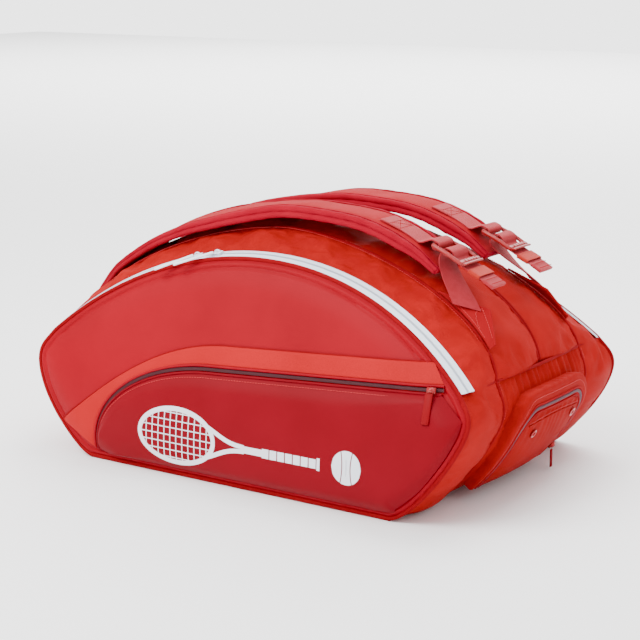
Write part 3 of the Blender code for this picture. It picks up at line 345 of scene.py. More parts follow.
def makeObject(name, points, faces, mat, uvs=None, smooth=True):
    mesh = bpy.data.meshes.new(name)
    mesh.from_pydata([tuple(map(float, p)) for p in points], [], [tuple(int(i) for i in f) for f in faces])
    if uvs is not None:
        layer = mesh.uv_layers.new(name="UVMap")
        index = np.empty(len(mesh.loops), int)
        mesh.loops.foreach_get("vertex_index", index)
        layer.data.foreach_set("uv", np.asarray(uvs, float)[index].ravel())
    mesh.validate()
    made = bpy.data.objects.new(name, mesh)
    bpy.context.scene.collection.objects.link(made)
    mesh.materials.append(mats[mat] if isinstance(mat, str) else mat)
    work = bmesh.new()
    work.from_mesh(mesh)
    bmesh.ops.recalc_face_normals(work, faces=work.faces)
    closed = all(len(e.link_faces) == 2 for e in work.edges)
    if closed and work.calc_volume(signed=True) < 0:
        bmesh.ops.reverse_faces(work, faces=work.faces)
    work.to_mesh(mesh)
    work.free()
    if smooth:
        mesh.shade_smooth()
        mesh.set_sharp_from_angle(angle=math.radians(50))
    return made


# Distances across and along a grid, in metres, for its UVs
def gridRuns(grid):
    across = np.concatenate([np.zeros((1,) + grid.shape[1:2]),
                             np.cumsum(np.linalg.norm(np.diff(grid, axis=0), axis=2), axis=0)])
    along = np.concatenate([np.zeros(grid.shape[:1] + (1,)),
                            np.cumsum(np.linalg.norm(np.diff(grid, axis=1), axis=2), axis=1)], axis=1)
    return np.stack([across, along.mean(axis=0, keepdims=True) + np.zeros_like(along)], axis=2)


def gridNormals(grid, away=None):
    normals = unit(np.cross(np.gradient(grid, axis=0), np.gradient(grid, axis=1)))
    facing = np.sum(normals * (grid - (middle if away is None else np.asarray(away))), axis=2, keepdims=True)
    return normals * (1 if np.mean(facing) > 0 else -1)


def flip(points, rear):
    return points * (-1, -1, 1) if rear else points


# A closed wall under a grid
def thickGrid(name, grid, thickness, mat, rear=False, away=None, normals=None):
    normals = gridNormals(grid, away) if normals is None else normals
    rows, cols = grid.shape[:2]
    count = rows * cols
    at = np.arange(count).reshape(rows, cols)
    quads = np.stack([at[:-1, :-1], at[:-1, 1:], at[1:, 1:], at[1:, :-1]], axis=-1).reshape(-1, 4)
    faces = quads.tolist() + (quads[:, ::-1] + count).tolist()
    loop = list(at[0, :]) + list(at[1:, -1]) + list(at[-1, -2::-1]) + list(at[-2:0:-1, 0])
    faces += [(b, a, a + count, b + count) for a, b in zip(loop, loop[1:] + loop[:1])]
    uv = gridRuns(grid).reshape(-1, 2)
    points = np.vstack([grid.reshape(-1, 3), (grid - normals * thickness).reshape(-1, 3)])
    return makeObject(name, flip(points, rear), faces, mat, np.vstack([uv, uv]))


def openGrid(name, grid, mat, rear=False):
    rows, cols = grid.shape[:2]
    at = np.arange(rows * cols).reshape(rows, cols)
    quads = np.stack([at[:-1, :-1], at[:-1, 1:], at[1:, 1:], at[1:, :-1]], axis=-1).reshape(-1, 4)
    return makeObject(name, flip(grid.reshape(-1, 3), rear), quads, mat, gridRuns(grid).reshape(-1, 2))


# A closed section of (side, normal) offsets carried along a path
def sweep(name, path, section, sides, mat, rear=False, closed=False, scale=None):
    path = np.asarray(path, float)
    if closed:
        tangent = unit(np.roll(path, -1, axis=0) - np.roll(path, 1, axis=0))
    else:
        tangent = unit(np.gradient(path, axis=0))
    side = unit(np.broadcast_to(np.asarray(sides, float), path.shape))
    normal = unit(np.cross(tangent, side))
    side = unit(np.cross(normal, tangent))
    section = np.asarray(section, float)
    size = np.ones(len(path)) if scale is None else np.asarray(scale, float)
    rings = (path[:, None] + side[:, None] * (section[:, 0] * size[:, None])[..., None]
             + normal[:, None] * (section[:, 1] * size[:, None])[..., None])
    n, m = len(path), len(section)
    faces = []
    for k in range(n if closed else n - 1):
        nextRing = (k + 1) % n
        faces += [(k * m + j, k * m + (j + 1) % m, nextRing * m + (j + 1) % m,
                   nextRing * m + j) for j in range(m)]
    if not closed:
        faces += [tuple(range(m))[::-1], tuple(range((n - 1) * m, n * m))]
    run = np.concatenate([[0], np.cumsum(np.linalg.norm(np.diff(path, axis=0), axis=1))])
    girth = np.concatenate([[0], np.cumsum(np.linalg.norm(np.diff(section, axis=0), axis=1))])
    uv = np.stack([np.broadcast_to(girth, (n, m)), np.broadcast_to(run[:, None], (n, m))], axis=2).reshape(-1,
                                                                                                           2)
    return makeObject(name, flip(rings.reshape(-1, 3), rear), faces, mat, uv)


def circle(radius, count=12):
    turn = np.linspace(0, 2 * math.pi, count, endpoint=False)
    return np.stack([np.cos(turn), np.sin(turn)], axis=1) * radius


# A flat section with rounded edges
def slab(width, thick, count=5):
    r = thick / 2
    turn = np.linspace(-math.pi / 2, math.pi / 2, count)
    right = np.stack([width / 2 - r + r * np.cos(turn), r * np.sin(turn)], axis=1)
    top = np.stack([np.linspace(width / 2 - r, -width / 2 + r, 9)[1:-1], np.full(7, r)], axis=1)
    return np.vstack([right, top, -right, top * (-1, -1)])


def tube(name, path, radius, mat, sides=(0, 1, 0), rear=False, closed=False):
    return sweep(name, path, circle(radius), sides, mat, rear, closed)


# Pieces that move together as one object
def join(name, parts):
    work = bmesh.new()
    slots = []
    for part in parts:
        mesh = part.data
        offset = []
        for mat in mesh.materials:
            if mat not in slots:
                slots.append(mat)
            offset.append(slots.index(mat))
        first = len(work.faces)
        work.from_mesh(mesh)
        work.faces.ensure_lookup_table()
        for face in work.faces[first:]:
            face.material_index = offset[min(face.material_index, len(offset) - 1)]
    mesh = bpy.data.meshes.new(name)
    work.to_mesh(mesh)
    work.free()
    for mat in slots:
        mesh.materials.append(mat)
    for part in parts:
        old = part.data
        bpy.data.objects.remove(part, do_unlink=True)
        bpy.data.meshes.remove(old)
    made = bpy.data.objects.new(name, mesh)
    bpy.context.scene.collection.objects.link(made)
    return made


def box(name, centre, axes, size, mat, bevel=0.0008, rear=False, segments=2):
    corners = [np.asarray(centre) + sum(np.asarray(axis) * s * (k - 0.5) for axis, s,
                                        k in zip(axes, size, corner))
               for corner in np.ndindex(2, 2, 2)]
    faces = [(0, 1, 3, 2), (4, 6, 7, 5), (0, 4, 5, 1), (2, 3, 7, 6), (0, 2, 6, 4), (1, 5, 7, 3)]
    made = makeObject(name, flip(np.array(corners), rear), faces, mat)
    work = bmesh.new()
    work.from_mesh(made.data)
    bmesh.ops.bevel(work, geom=list(work.edges), offset=bevel, segments=segments, affect="EDGES", profile=0.6)
    work.to_mesh(made.data)
    work.free()
    return made


# A small bar repeated along paths of (points, ups): stitches or zip teeth
def along(name, paths, spacing, size, mat, rear=False):
    points, ups, edges = [], [], []
    for path, up in paths:
        first = len(points)
        points += list(np.asarray(path, float))
        ups += list(np.broadcast_to(np.asarray(up, float), np.shape(path)))
        edges += [(first + k, first + k + 1) for k in range(len(path) - 1)]
    points, ups = flip(np.array(points), rear), flip(unit(np.array(ups)), rear)
    mesh = bpy.data.meshes.new(name)
    mesh.from_pydata([tuple(map(float, p)) for p in points], edges, [])
    attribute = mesh.attributes.new("up", "FLOAT_VECTOR", "POINT")
    attribute.data.foreach_set("vector", ups.astype(np.float32).ravel())
    made = bpy.data.objects.new(name, mesh)
    bpy.context.scene.collection.objects.link(made)
    tree = bpy.data.node_groups.new(name, "GeometryNodeTree")
    tree.interface.new_socket("Geometry", in_out="INPUT", socket_type="NodeSocketGeometry")
    tree.interface.new_socket("Geometry", in_out="OUTPUT", socket_type="NodeSocketGeometry")
    start = tree.nodes.new("NodeGroupInput")
    curve = addNode(tree, "GeometryNodeMeshToCurve", {}, {"Mesh": (start, 0)})
    even = addNode(tree, "GeometryNodeResampleCurve", {"mode": "LENGTH", "Length": spacing},
                   {"Curve": (curve, 0)})
    bar = addNode(tree, "GeometryNodeMeshCube", {"Size": size})
    tangent = addNode(tree, "GeometryNodeInputTangent")
    upward = addNode(tree, "GeometryNodeInputNamedAttribute", {"data_type": "FLOAT_VECTOR", 0: "up"})
    turn = addNode(tree, "FunctionNodeAlignRotationToVector", {"axis": "X"}, {"Vector": (tangent, 0)})
    stand = addNode(tree, "FunctionNodeAlignRotationToVector", {"axis": "Z", "pivot_axis": "X"},
                    {"Rotation": (turn, 0), "Vector": (upward, 0)})
    placed = addNode(tree, "GeometryNodeInstanceOnPoints", {}, {"Points": (even, 0), "Instance": (bar, 0),
                                                               "Rotation": (stand, 0)})
    real = addNode(tree, "GeometryNodeRealizeInstances", {}, {"Geometry": (placed, 0)})
    coat = addNode(tree, "GeometryNodeSetMaterial", {}, {"Geometry": (real, 0)})
    coat.inputs["Material"].default_value = mats[mat]
    end = tree.nodes.new("NodeGroupOutput")
    tree.links.new(coat.outputs[0], end.inputs[0])
    modifier = made.modifiers.new("repeat", "NODES")
    modifier.node_group = tree
    bpy.context.view_layer.update()
    result = bpy.data.meshes.new_from_object(made.evaluated_get(bpy.context.evaluated_depsgraph_get()))
    made.modifiers.clear()
    made.data = result
    if not result.materials:
        result.materials.append(mats[mat])
    bpy.data.node_groups.remove(tree)
    for old in [a.name for a in result.attributes if a.name == "up"]:
        result.attributes.remove(result.attributes[old])
    return made


# Lets the sewn cloth find its own wrinkles: edges are held, the rest is a little too large for its place
def relax(pieces, settings):
    first = {}
    for piece, held in pieces:
        group = piece.vertex_groups.new(name="held")
        for index, weight in enumerate(held):
            if weight > 0:
                group.add([index], float(weight), "REPLACE")
        first[piece.name] = np.array([v.co for v in piece.data.vertices])
        cloth = piece.modifiers.new("cloth", "CLOTH")
        sets = cloth.settings
        sets.quality = settings["quality"]
        sets.mass = settings["mass"]
        sets.tension_stiffness = sets.compression_stiffness = settings["stiffness"]
        sets.shear_stiffness = settings["shear"]
        sets.bending_stiffness = settings["bending"]
        sets.tension_damping = sets.compression_damping = settings["damping"]
        sets.air_damping = settings["air"]
        sets.vertex_group_mass = "held"
        sets.pin_stiffness = 1.0
        sets.shrink_min = -settings["grow"]
        sets.shrink_max = -settings["grow"]
        sets.use_pressure = True
        sets.uniform_pressure_force = settings["pressure"]
        sets.effector_weights.gravity = 0.0
        cloth.collision_settings.use_collision = False
        cloth.collision_settings.use_self_collision = False
        cloth.point_cache.frame_start, cloth.point_cache.frame_end = 1, settings["frames"]
    scene = bpy.context.scene
    scene.frame_start, scene.frame_end = 1, settings["frames"]
    for f in range(1, settings["frames"] + 1):
        scene.frame_set(f)
    graph = bpy.context.evaluated_depsgraph_get()
    for piece, held in pieces:
        settled = np.array([v.co for v in piece.evaluated_get(graph).data.vertices])
        piece.modifiers.clear()
        start = first[piece.name]
        move = settled - start
        size = np.linalg.norm(move, axis=1, keepdims=True)
        move = move / np.maximum(size, 1e-9) * settings["most"] * np.tanh(size / settings["most"])
        piece.data.vertices.foreach_set("co", (start + move).astype(np.float32).ravel())
        piece.data.update()
        print(piece.name, "moved up to", round(float(np.abs(move).max()) * 1000, 1), "mm")
    scene.frame_set(1)


# Gives a settled cloth its thickness, inwards
def thicken(piece, thickness):
    solid = piece.modifiers.new("wall", "SOLIDIFY")
    solid.thickness = thickness
    solid.offset = -1.0
    bpy.context.view_layer.update()
    mesh = bpy.data.meshes.new_from_object(piece.evaluated_get(bpy.context.evaluated_depsgraph_get()))
    piece.modifiers.clear()
    piece.data = mesh
    return piece


def meshArea(piece):
    return sum(p.area for p in piece.data.polygons)


# Turns an open sheet's faces away from a point
def pointOut(piece, away):
    total = sum((p.center - Vector(away)).dot(p.normal) * p.area for p in piece.data.polygons)
    if total < 0:
        piece.data.flip_normals()
    return piece


def claim(nodes):
    if nodes:
        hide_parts(*nodes)


def put(piece, body, nodes):
    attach(piece, body)
    claim(nodes)


# A piece that runs from the body onto the opening flap
def bend(piece, half, nodes):
    y = float(edgeY(shape["foldZ"])) * (-1 if half == "rear" else 1)
    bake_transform(piece, "bag", f"{half}_flap", start=(0, y, 0.206), end=(0, y, 0.226))
    claim(nodes)


# Spacing, then the length, width and height of one stitch
stitch = {
    "tape": (0.0042, (0.0028, 0.0005, 0.0005)), "junction": (0.0038, (0.0025, 0.0006, 0.0005)),
    "pocket": (0.0044, (0.0030, 0.0006, 0.0006)), "webbing": (0.0030, (0.0022, 0.0007, 0.0006)),
    "tab": (0.0034, (0.0024, 0.0007, 0.0006)), "endRim": (0.0042, (0.0028, 0.0006, 0.0005)),
    "gather": (0.0040, (0.0027, 0.0006, 0.0005)),
}


# Moulded front and rear

face = {"rings": 56, "thickness": 0.003, "centre": (0.0, 0.150), "piping": 0.0031}


def moldedFace(half, rear):
    centre = np.array(face["centre"])
    reach = centre - outline
    length = np.linalg.norm(reach, axis=1, keepdims=True)
    rings = [outline + reach / length * (0.0012 + (length - 0.0012) * t ** 1.5)
             for t in np.linspace(0, 1, face["rings"] + 1)[:-1]]
    flat = np.array(rings)
    grid = facePoint(flat[..., 0], flat[..., 1], 0.0, rim=True)
    n = len(outline)
    points = np.vstack([grid.reshape(-1, 3), facePoint(centre[0:1], centre[1:2])])
    faces = []
    for r in range(face["rings"] - 1):
        faces += [(r * n + k, r * n + (k + 1) % n, (r + 1) * n + (k + 1) % n,
                   (r + 1) * n + k) for k in range(n)]
    last = (face["rings"] - 1) * n
    faces += [(last + k, last + (k + 1) % n, len(points) - 1) for k in range(n)]
    piece = makeObject(f"{half}Panel", flip(points, rear), faces, "panel",
                       np.vstack([flat.reshape(-1, 2), [centre]]))
    pointOut(piece, (0, 0, 0.1))
    return thicken(piece, face["thickness"])


def makeFaces():
    for half, rear in halves:
        panel = moldedFace(half, rear)
        bend(panel, half, [f"{half}_lower_panel", f"{half}_flap_panel"])
        loop = resample(np.vstack([outline, outline[:1]]), 421)[:-1]
        path = np.stack([loop[:, 0], edgeY(loop[:, 1]), loop[:, 1]], axis=1)
        piping = tube(f"{half}Piping", path, face["piping"], "piping", (0, 1, 0), rear, closed=True)
        bend(piping, half, [f"{half}_edge_piping", f"{half}_flap_piping"])
    print("moulded panels")


# Main zips

zips = {"start": 0.0024, "gap": 0.0003, "end": 0.0228, "thickness": 0.0011, "height": 0.0012,
        "tooth": (0.0010, 0.0032, 0.0011), "pitch": 0.0017, "stitchAt": 0.0196}


def makeZips():
    reach = zipSpan - 0.004
    angles = np.linspace(-reach, reach, 201)
    for half, rear in halves:
        for part, low, high in (("Front", zips["start"], shape["coil"] - zips["gap"]),
                                ("Back", shape["coil"] + zips["gap"], zips["end"])):
            across = np.linspace(low, high, 7)
            edge = np.abs(across - shape["coil"]) < 0.0024
            grid = np.array([zipPoint(angles, w, zips["height"] + (0.0004 if e else 0)) for w,
                             e in zip(across, edge)])
            tape = thickGrid(f"{half}Tape{part}", grid, zips["thickness"], "white", rear, away=(0, 0, 0))
            if part == "Front":
                bend(tape, half, [f"{half}_zip_tape_flap"])
            else:
                put(tape, "bag", [f"{half}_zip_tape_body"])
        path = zipPoint(angles, shape["coil"], zips["height"] + 0.0004)
        ups = zipPoint(angles, shape["coil"], 1.0) - zipPoint(angles, shape["coil"], 0.0)
        # The teeth row takes the grey groove colour, which is painted shade along the zip's centre line
        teeth = along(f"{half}Teeth", [(path, ups)], zips["pitch"], zips["tooth"], "groove", rear)
        bend(teeth, half, ())
        row = (zipPoint(angles, zips["stitchAt"], zips["height"] + 0.0002), ups)
        thread = along(f"{half}TapeStitches", [row], *stitch["tape"], "white", rear)
        put(thread, "bag", ())
    print("main zips")


# Fabric panels

cloth = {"grow": 0.020, "pressure": 0.35, "mass": 0.25, "stiffness": 14.0, "shear": 3.0, "bending": 0.12,
         "damping": 6.0, "air": 3.0, "quality": 5, "frames": 26, "most": 0.0055}


def between(first, last, rows, crown, trims=(0.0, 0.0)):
    gap = last - first
    width = np.linalg.norm(gap, axis=1, keepdims=True)
    low, high = trims[0] / width, 1 - trims[1] / width
    steps = np.linspace(0, 1, rows)
    flat = np.array([first + gap * (low + (high - low) * s) for s in steps])
    return flat + gridNormals(flat) * (crown * 4 * steps * (1 - steps))[:, None, None]


def heldBorder(grid, first=1):
    held = np.ones(grid.shape[:2])
    held[first:-1, 1:-1] = 0
    return held.ravel()


# The gusset begins under the zip's back half, and at the panel's edge down the ends
def gussetStart(across, nudge):
    angles = np.linspace(-zipSpan, zipSpan, archSteps)
    inside = 1 - ease((np.abs(angles) / zipSpan - 0.86) / 0.12)
    start = edgeGuide.copy()
    start[seamFirst:seamLast + 1] = zipPoint(angles, across * inside, -0.0004)
    ends = np.ones(len(start))
    ends[seamFirst:seamLast + 1] = 1 - inside
    return start + (junctionGuide - start) * (nudge * ends)[:, None]


# Soft creases that a sewn strip keeps: long ones, stronger where it is pulled in
def wrinkled(grid, settings):
    normals = gridNormals(grid)
    rows, cols = grid.shape[:2]
    s = np.linspace(0, 1, rows)[:, None]
    run = gridRuns(grid)[..., 1]
    total = np.zeros((rows, cols))
    for wave, size, slant in settings:
        phase = random.uniform(0, 6.28)
        total += size * np.sin(run * 2 * math.pi / wave + slant * s + phase + 1.3 * np.sin(run * 5.1 + phase))
    return grid + normals * (total * (4 * s * (1 - s)) ** 0.7)[..., None]


gusset = {"rows": 31, "crown": 0.0050, "trims": (0.0, 0.0006), "length": 1.25,
          "waves": ((0.085, 0.0012, 1.5), (0.047, 0.0007, -2.0)),
          "under": ((0.0180, 0.0), (0.0218, 0.015)), "start": (0.0256, 0.030)}
centre = {"rows": 31, "crown": 0.0060, "trims": (0.0006, 0.0006), "length": 0.80,
          "waves": ((0.11, 0.0012, 1.2), (0.053, 0.0006, -2.2))}
endPanel = {"rows": 73, "crown": 0.0040, "length": 0.24, "reach": 0.16, "edge": 0.121, "still": 0.02}
wall = {"thickness": 0.0018, "clear": 0.0004, "spare": 1.15}


def openPanel(name, grid, mat, rear):
    return pointOut(openGrid(name, grid, mat, rear), (0, 0, 0.1))


def stripGrid(first, last, part):
    grid = between(first, last, part["rows"], part["crown"], part["trims"])
    return wrinkled(grid, part["waves"])


# Gathers run down from the end panel's top seam and fade towards its foot
def gathered(grid):
    y = grid[..., 1]
    run = np.linspace(0, 1, grid.shape[1])[None, :]
    fade = np.exp(-(1 - run) / endPanel["reach"]) * (1 - (y / endPanel["edge"]) ** 8)
    fade = fade * np.minimum(1, (1 - run) / endPanel["still"])
    gathers = 0.0016 * np.sin(y * 480 + 2.2 * np.sin(y * 61)) + 0.0009 * np.sin(y * 210 + 1.0)
    return grid + gridNormals(grid) * (gathers * fade)[..., None]


def makeGussets():
    pieces = []
    for half, rear in halves:
        grid = stripGrid(gussetStart(*gusset["start"]), junctionGuide, gusset)
        grid = np.vstack([[gussetStart(*place)] for place in gusset["under"]] + [grid])
        piece = openPanel(f"{half}Gusset", grid, "cloth", rear)
        pieces.append((piece, heldBorder(grid, 3), f"{half}_gusset", gusset["length"]))
        grid = stripGrid(junctionArch, centreArch, centre)
        piece = openPanel(f"{half}Centre", grid, "cloth", rear)
        pieces.append((piece, heldBorder(grid), f"{half}_centre_panel", centre["length"]))
    for name, rear in ends:
        path = junctionGuide[seamLast:][::-1]
        grid = gathered(between(path, path * (1, -1, 1), endPanel["rows"], endPanel["crown"]))
        # The end panels take the darker end cloth, which is painted shade of the ends
        piece = openPanel(f"{name}End", grid, "shadedEndCloth", rear)
        pieces.append((piece, heldBorder(grid), f"{name}_end_panel", endPanel["length"]))
    areas = [meshArea(row[0]) for row in pieces]
    relax([row[:2] for row in pieces], cloth)
    for (piece, _, node, length), area in zip(pieces, areas):
        thicken(piece, wall["thickness"])
        for v in piece.data.vertices:
            v.co.z = max(v.co.z, wall["clear"])
        put(piece, "bag", [node])
    print("fabric panels")


def makePipings():
    for half, rear in halves:
        main = tube(f"{half}Junction", junctionGuide, 0.0024, "piping", (0, 1, 0), rear)
        put(main, "bag", [f"junction_piping_{half}"])
        normals = unit(np.cross(unit(np.gradient(junctionGuide, axis=0)), (0, 1.0, 0)))
        normals = normals * np.sign(np.sum(normals * (junctionGuide - middle), axis=1, keepdims=True))
        beside = junctionGuide + normals * 0.0006
        rows = [(beside + (0, dy, 0), normals) for dy in (-0.0062, 0.0060)]
        thread = along(f"{half}JunctionStitches", rows, *stitch["junction"], "thread", rear)
        put(thread, "bag", ())
    arch = centreArch[1:-1]
    cords = [tube(f"centreCord{k}", arch + (0, dy, 0.0), 0.0025, "piping") for k,
             dy in enumerate((-0.0030, 0.0030))]
    put(join("centreCords", cords), "bag", ["centre_piping"])
    for name, rear in ends:
        y = np.linspace(-0.117, 0.117, 61)
        x = shape["seamX"] + 0.0045 * (1 - (y / 0.12) ** 2)
        seam = np.stack([x, y, np.full(len(y), shape["seamZ"])], axis=1)
        piping = tube(f"{name}EndSeam", seam, 0.0024, "piping", (0, 0, 1), rear)
        put(piping, "bag", [f"end_seam_piping_{name}"])
    for half, rear in halves:
        for side in (-1, 1):
            a = zipPoint(np.array([side * (zipSpan - 0.003)]), 0.001, 0.0)[0]
            b = np.array([side * shape["seamX"], shape["junctionY"], shape["seamZ"]])
            line = np.array([a + (b - a) * t + (side * 0.0050 * math.sin(math.pi * t), 0, 0)
                             for t in np.linspace(0, 1, 22)])
            ridge = tube(f"{half}GussetSeam{side + 1}", line, 0.0014, "piping", (0, 0, 1), rear)
            put(ridge, "bag", ())
    print("pipings")


def makeBase():
    piece = box("basePiece", (0, 0, 0.0016), np.eye(3), (0.506, 0.452, 0.0032), "base", 0.001)
    put(piece, "bag", ["base_panel", "base_board"])
    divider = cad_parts["centre_divider"]
    divider.data.materials.clear()
    divider.data.materials.append(mats["dark"])
    print("base")


# Front pocket and accent band

pocket = {"right": (0.316, 0.172), "knee": (-0.050, 0.151), "foot": (-0.231, 0.018), "zip": 0.0105,
          "relief": 0.0062, "lift": 0.0022}
band = {"right": (0.2935, 0.2085), "knee": (-0.019, 0.190), "foot": (-0.303, 0.051)}


def pocketLine(up=0.0, spread=0.0):
    foot = (pocket["foot"][0] - spread, pocket["foot"][1])
    knee = (pocket["knee"][0], pocket["knee"][1] + up)
    turn = bezier(foot, (foot[0] - 0.006, foot[1] + 0.080 + up), (knee[0] - 0.100, knee[1] - 0.007), knee, 90)
    return np.vstack([turn, (pocket["right"][0], pocket["right"][1] + up)])


def bandLine():
    foot, knee = band["foot"], band["knee"]
    turn = bezier(foot, (foot[0] + 0.090, foot[1] + 0.068), (knee[0] - 0.120, knee[1] - 0.005), knee, 90)
    return np.vstack([turn, band["right"]])


def pocketFloor():
    side = edgeGuide[seamLast + 1:][::-1]
    x, z = side[:, 0], side[:, 2]
    keep = (z > 0.016) & (z < 0.142)
    rising = np.stack([x[keep] - 0.0075 - 0.004 * ease((0.05 - z[keep]) / 0.04), z[keep] + 0.0035], axis=1)
    return np.vstack([(pocket["foot"][0] + 0.016, 0.0125), (0.240, 0.0125), (0.262, 0.0140), rising])


def faceOverlay(name, first, last, rows, out, thickness, mat, count=240):
    steps = np.linspace(0, 1, rows)[:, None, None]
    first, last = resample(first, count), resample(last, count)
    flat = first[None] + (last - first)[None] * steps
    s, t = np.meshgrid(np.linspace(0, 1, rows), np.linspace(0, 1, count), indexing="ij")
    grid = facePoint(flat[..., 0], flat[..., 1], out(s, t))
    return thickGrid(name, grid, thickness, mat, away=(0, 0, 0.1))


def pocketOut(s, t):
    body = rise(s / 0.16) * rise((1 - s) / 0.10) * rise(t / 0.05) * rise((1 - t) / 0.05)
    return pocket["lift"] + 0.0012 * rise(s / 0.02) + pocket["relief"] * body


def makePocket():
    top, above = pocketLine(), pocketLine(pocket["zip"], 0.006)
    panel = faceOverlay("pocketFace", top, pocketFloor(), 60, pocketOut, 0.0030, "pocket")
    put(panel, "bag", ["pocket_panel"])
    tape = faceOverlay("pocketTape", above, top, 7, lambda s, t: 0.0010 + 0 * s, 0.0012, "dark")
    put(tape, "bag", ["pocket_zip_tape"])
    strip = faceOverlay("bandFace", bandLine(), above, 26,
                        lambda s, t: 0.0006 + 0.0022 * rise(s / 0.12) * rise((1 - s) / 0.08), 0.0014, "band")
    put(strip, "bag", ["accent_band"])
    lines = {"bandSeam": (resample(bandLine(), 200), 0.0012, 0.0010, "piping"),
             "upperLip": (resample(pocketLine(pocket["zip"] - 0.0004, 0.0055), 200), 0.0030, 0.0018, "panel"),
             "lowerLip": (resample(pocketLine(0.0006, 0.0003), 200), 0.0034, 0.0018, "pocket")}
    for name, (line, out, radius, mat) in lines.items():
        path = facePoint(line[:, 0], line[:, 1], out)
        put(tube(name, path, radius, mat, (0, 1, 0)), "bag", ())
    line = resample(pocketLine(pocket["zip"] / 2, 0.003), 260)
    path = facePoint(line[:, 0], line[:, 1], 0.0016)
    coil = sweep("pocketCoil", path, slab(0.0010, 0.0046), (0, -1, 0.3), "coil")
    teeth = along("pocketTeeth", [(path + (0, -0.0006, 0), (0, -1, 0.3))], 0.0016, (0.0009, 0.0040, 0.0009),
                  "coil")
    put(join("pocketCoils", [coil, teeth]), "bag", ())
    edge = resample(pocketLine(-0.0052, -0.003), 220)[4:-3]
    rows = [(facePoint(edge[:, 0], edge[:, 1], pocket["lift"] + 0.0012 + pocket["relief"] * 0.42),
             (0, -1, 0.2))]
    put(along("pocketStitches", rows, *stitch["pocket"], "thread"), "bag", ())
    print("front pocket")
    return panel


# Printed racket and ball on the pocket

motif = {"head": (-0.083, 0.0625), "headSize": (0.0640, 0.0375), "rim": 0.0068, "string": 0.0013,
         "pitch": 0.0105,
         "throat": 0.052, "handle": (0.062, 0.150), "grip": 0.0125, "ball": (0.196, 0.0650),
         "ballSize": 0.0225}


def makeMotif(ground):
    tree = BVHTree.FromPolygons([v.co for v in ground.data.vertices],
                                [p.vertices for p in ground.data.polygons])
    parts = []

    def lay(name, rows):
        rows = np.asarray(rows, float)
        grid = np.zeros(rows.shape[:2] + (3,))
        for i in range(rows.shape[0]):
            for j in range(rows.shape[1]):
                x, z = rows[i, j]
                hit = tree.ray_cast(Vector((x, -0.5, z)), Vector((0, 1, 0)))[0]
                y = hit.y if hit else float(facePoint(np.array(x), np.array(z), 0.009)[1])
                grid[i, j] = (x, y - 0.00035, z)
        parts.append(thickGrid(name, grid, 0.0008, "print", away=(0, 0.2, 0.06)))

    def stroke(name, path, width):
        count = max(3, int(np.sum(np.linalg.norm(np.diff(path, axis=0), axis=1)) / 0.003))
        path = resample(path, count)
        tangent = unit(np.gradient(path, axis=0))
        side = np.stack([-tangent[:, 1], tangent[:, 0]], axis=1)
        lay(name, [path + side * width * k for k in (-0.5, 0, 0.5)])

    cx, cz = motif["head"]
    a, b = motif["headSize"]
    turn = np.linspace(0, 2 * math.pi, 91)
    stroke("head", np.stack([cx + a * np.cos(turn), cz + b * np.sin(turn)], axis=1), motif["rim"])
    inA, inB = a - motif["rim"] / 2, b - motif["rim"] / 2
    for k in range(-5, 6):
        x = k * motif["pitch"]
        if abs(x) < inA * 0.97:
            h = inB * math.sqrt(1 - (x / inA) ** 2)
            stroke(f"main{k}", np.array([(cx + x, cz - h), (cx + x, cz + h)]), motif["string"])
    for k in range(-3, 4):
        z = k * motif["pitch"]
        if abs(z) < inB * 0.97:
            w = inA * math.sqrt(1 - (z / inB) ** 2)
            stroke(f"cross{k}", np.array([(cx - w, cz + z), (cx + w, cz + z)]), motif["string"])
    neck = cx + a + motif["throat"]
    for sign in (-1, 1):
        start = (cx + a * 0.84, cz + sign * b * 0.56)
        path = bezier(start, (cx + a + 0.012, cz + sign * b * 0.34), (neck - 0.030, cz + sign * 0.0035),
                      (neck, cz + sign * 0.0030), 24)
        stroke(f"throat{sign}", path, motif["rim"] * 0.9)
    stroke("shaft", np.array([(neck - 0.004, cz), (motif["handle"][0] + 0.002, cz)]), 0.0095)
    first, last = motif["handle"]
    for k, (low, high) in enumerate(zip(np.linspace(first, last, 8)[:-1], np.linspace(first, last, 8)[1:])):
        stroke(f"grip{k}", np.array([(low + 0.0009, cz), (high - 0.0009, cz)]), motif["grip"])
    stroke("butt", np.array([(last + 0.0006, cz), (last + 0.0050, cz)]), motif["grip"] + 0.004)
    bx, bz = motif["ball"]
    for low, high in ((-1.0, -0.42), (-0.36, 0.36), (0.42, 1.0)):
        rows = []
        for u in np.linspace(low, high, 7):
            h = motif["ballSize"] * math.sqrt(max(0.0, 1 - u * u))
            bow = 0.0 if abs(u) == 1 else -np.sign(u) * 0.004 * (1 - abs(u))
            rows.append([(bx + u * motif["ballSize"] + bow * (1 - v ** 2) * (abs(u) < 0.99), bz + v * h)
                         for v in np.linspace(-1, 1, 15)])
        lay(f"ball{low}", rows)
    put(join("motif", parts), "bag", ())
    print("motif")


# Shoulder straps

strap = {
    "y": 0.068, "width": 0.078, "thick": 0.019, "edge": 0.011, "tip": 0.009,
    "route": ((-0.366, 0.196), (-0.3485, 0.2175), (-0.3265, 0.2430), (-0.3008, 0.2668), (-0.2434, 0.3036),
              (-0.1818, 0.3312), (-0.1177, 0.3510), (-0.0515, 0.3656), (0.000, 0.3729), (0.050, 0.3735),
              (0.120, 0.368), (0.172, 0.354), (0.212, 0.334), (0.243, 0.308)),
    "root": 0.050, "lean": 0.14, "leanFrom": -0.01,
    "rolls": ((0.0048, 0.28, 0.0046), (0.0042, 0.70, 0.0048)),
    "rootStrip": ((-0.3560, 0.2010), (-0.3650, 0.1925), (-0.3640, 0.1835), (-0.3515, 0.1765)),
    "webbing": 0.038, "webbingThick": 0.0016, "boxFrom": 0.150,
}
buckle = {"centre": (0.2545, 0.3265), "slope": math.radians(-25), "width": 0.050, "thick": 0.005,
          "bars": ((-0.026, -0.020), (-0.006, 0.003), (0.018, 0.026)), "tail": 0.048}
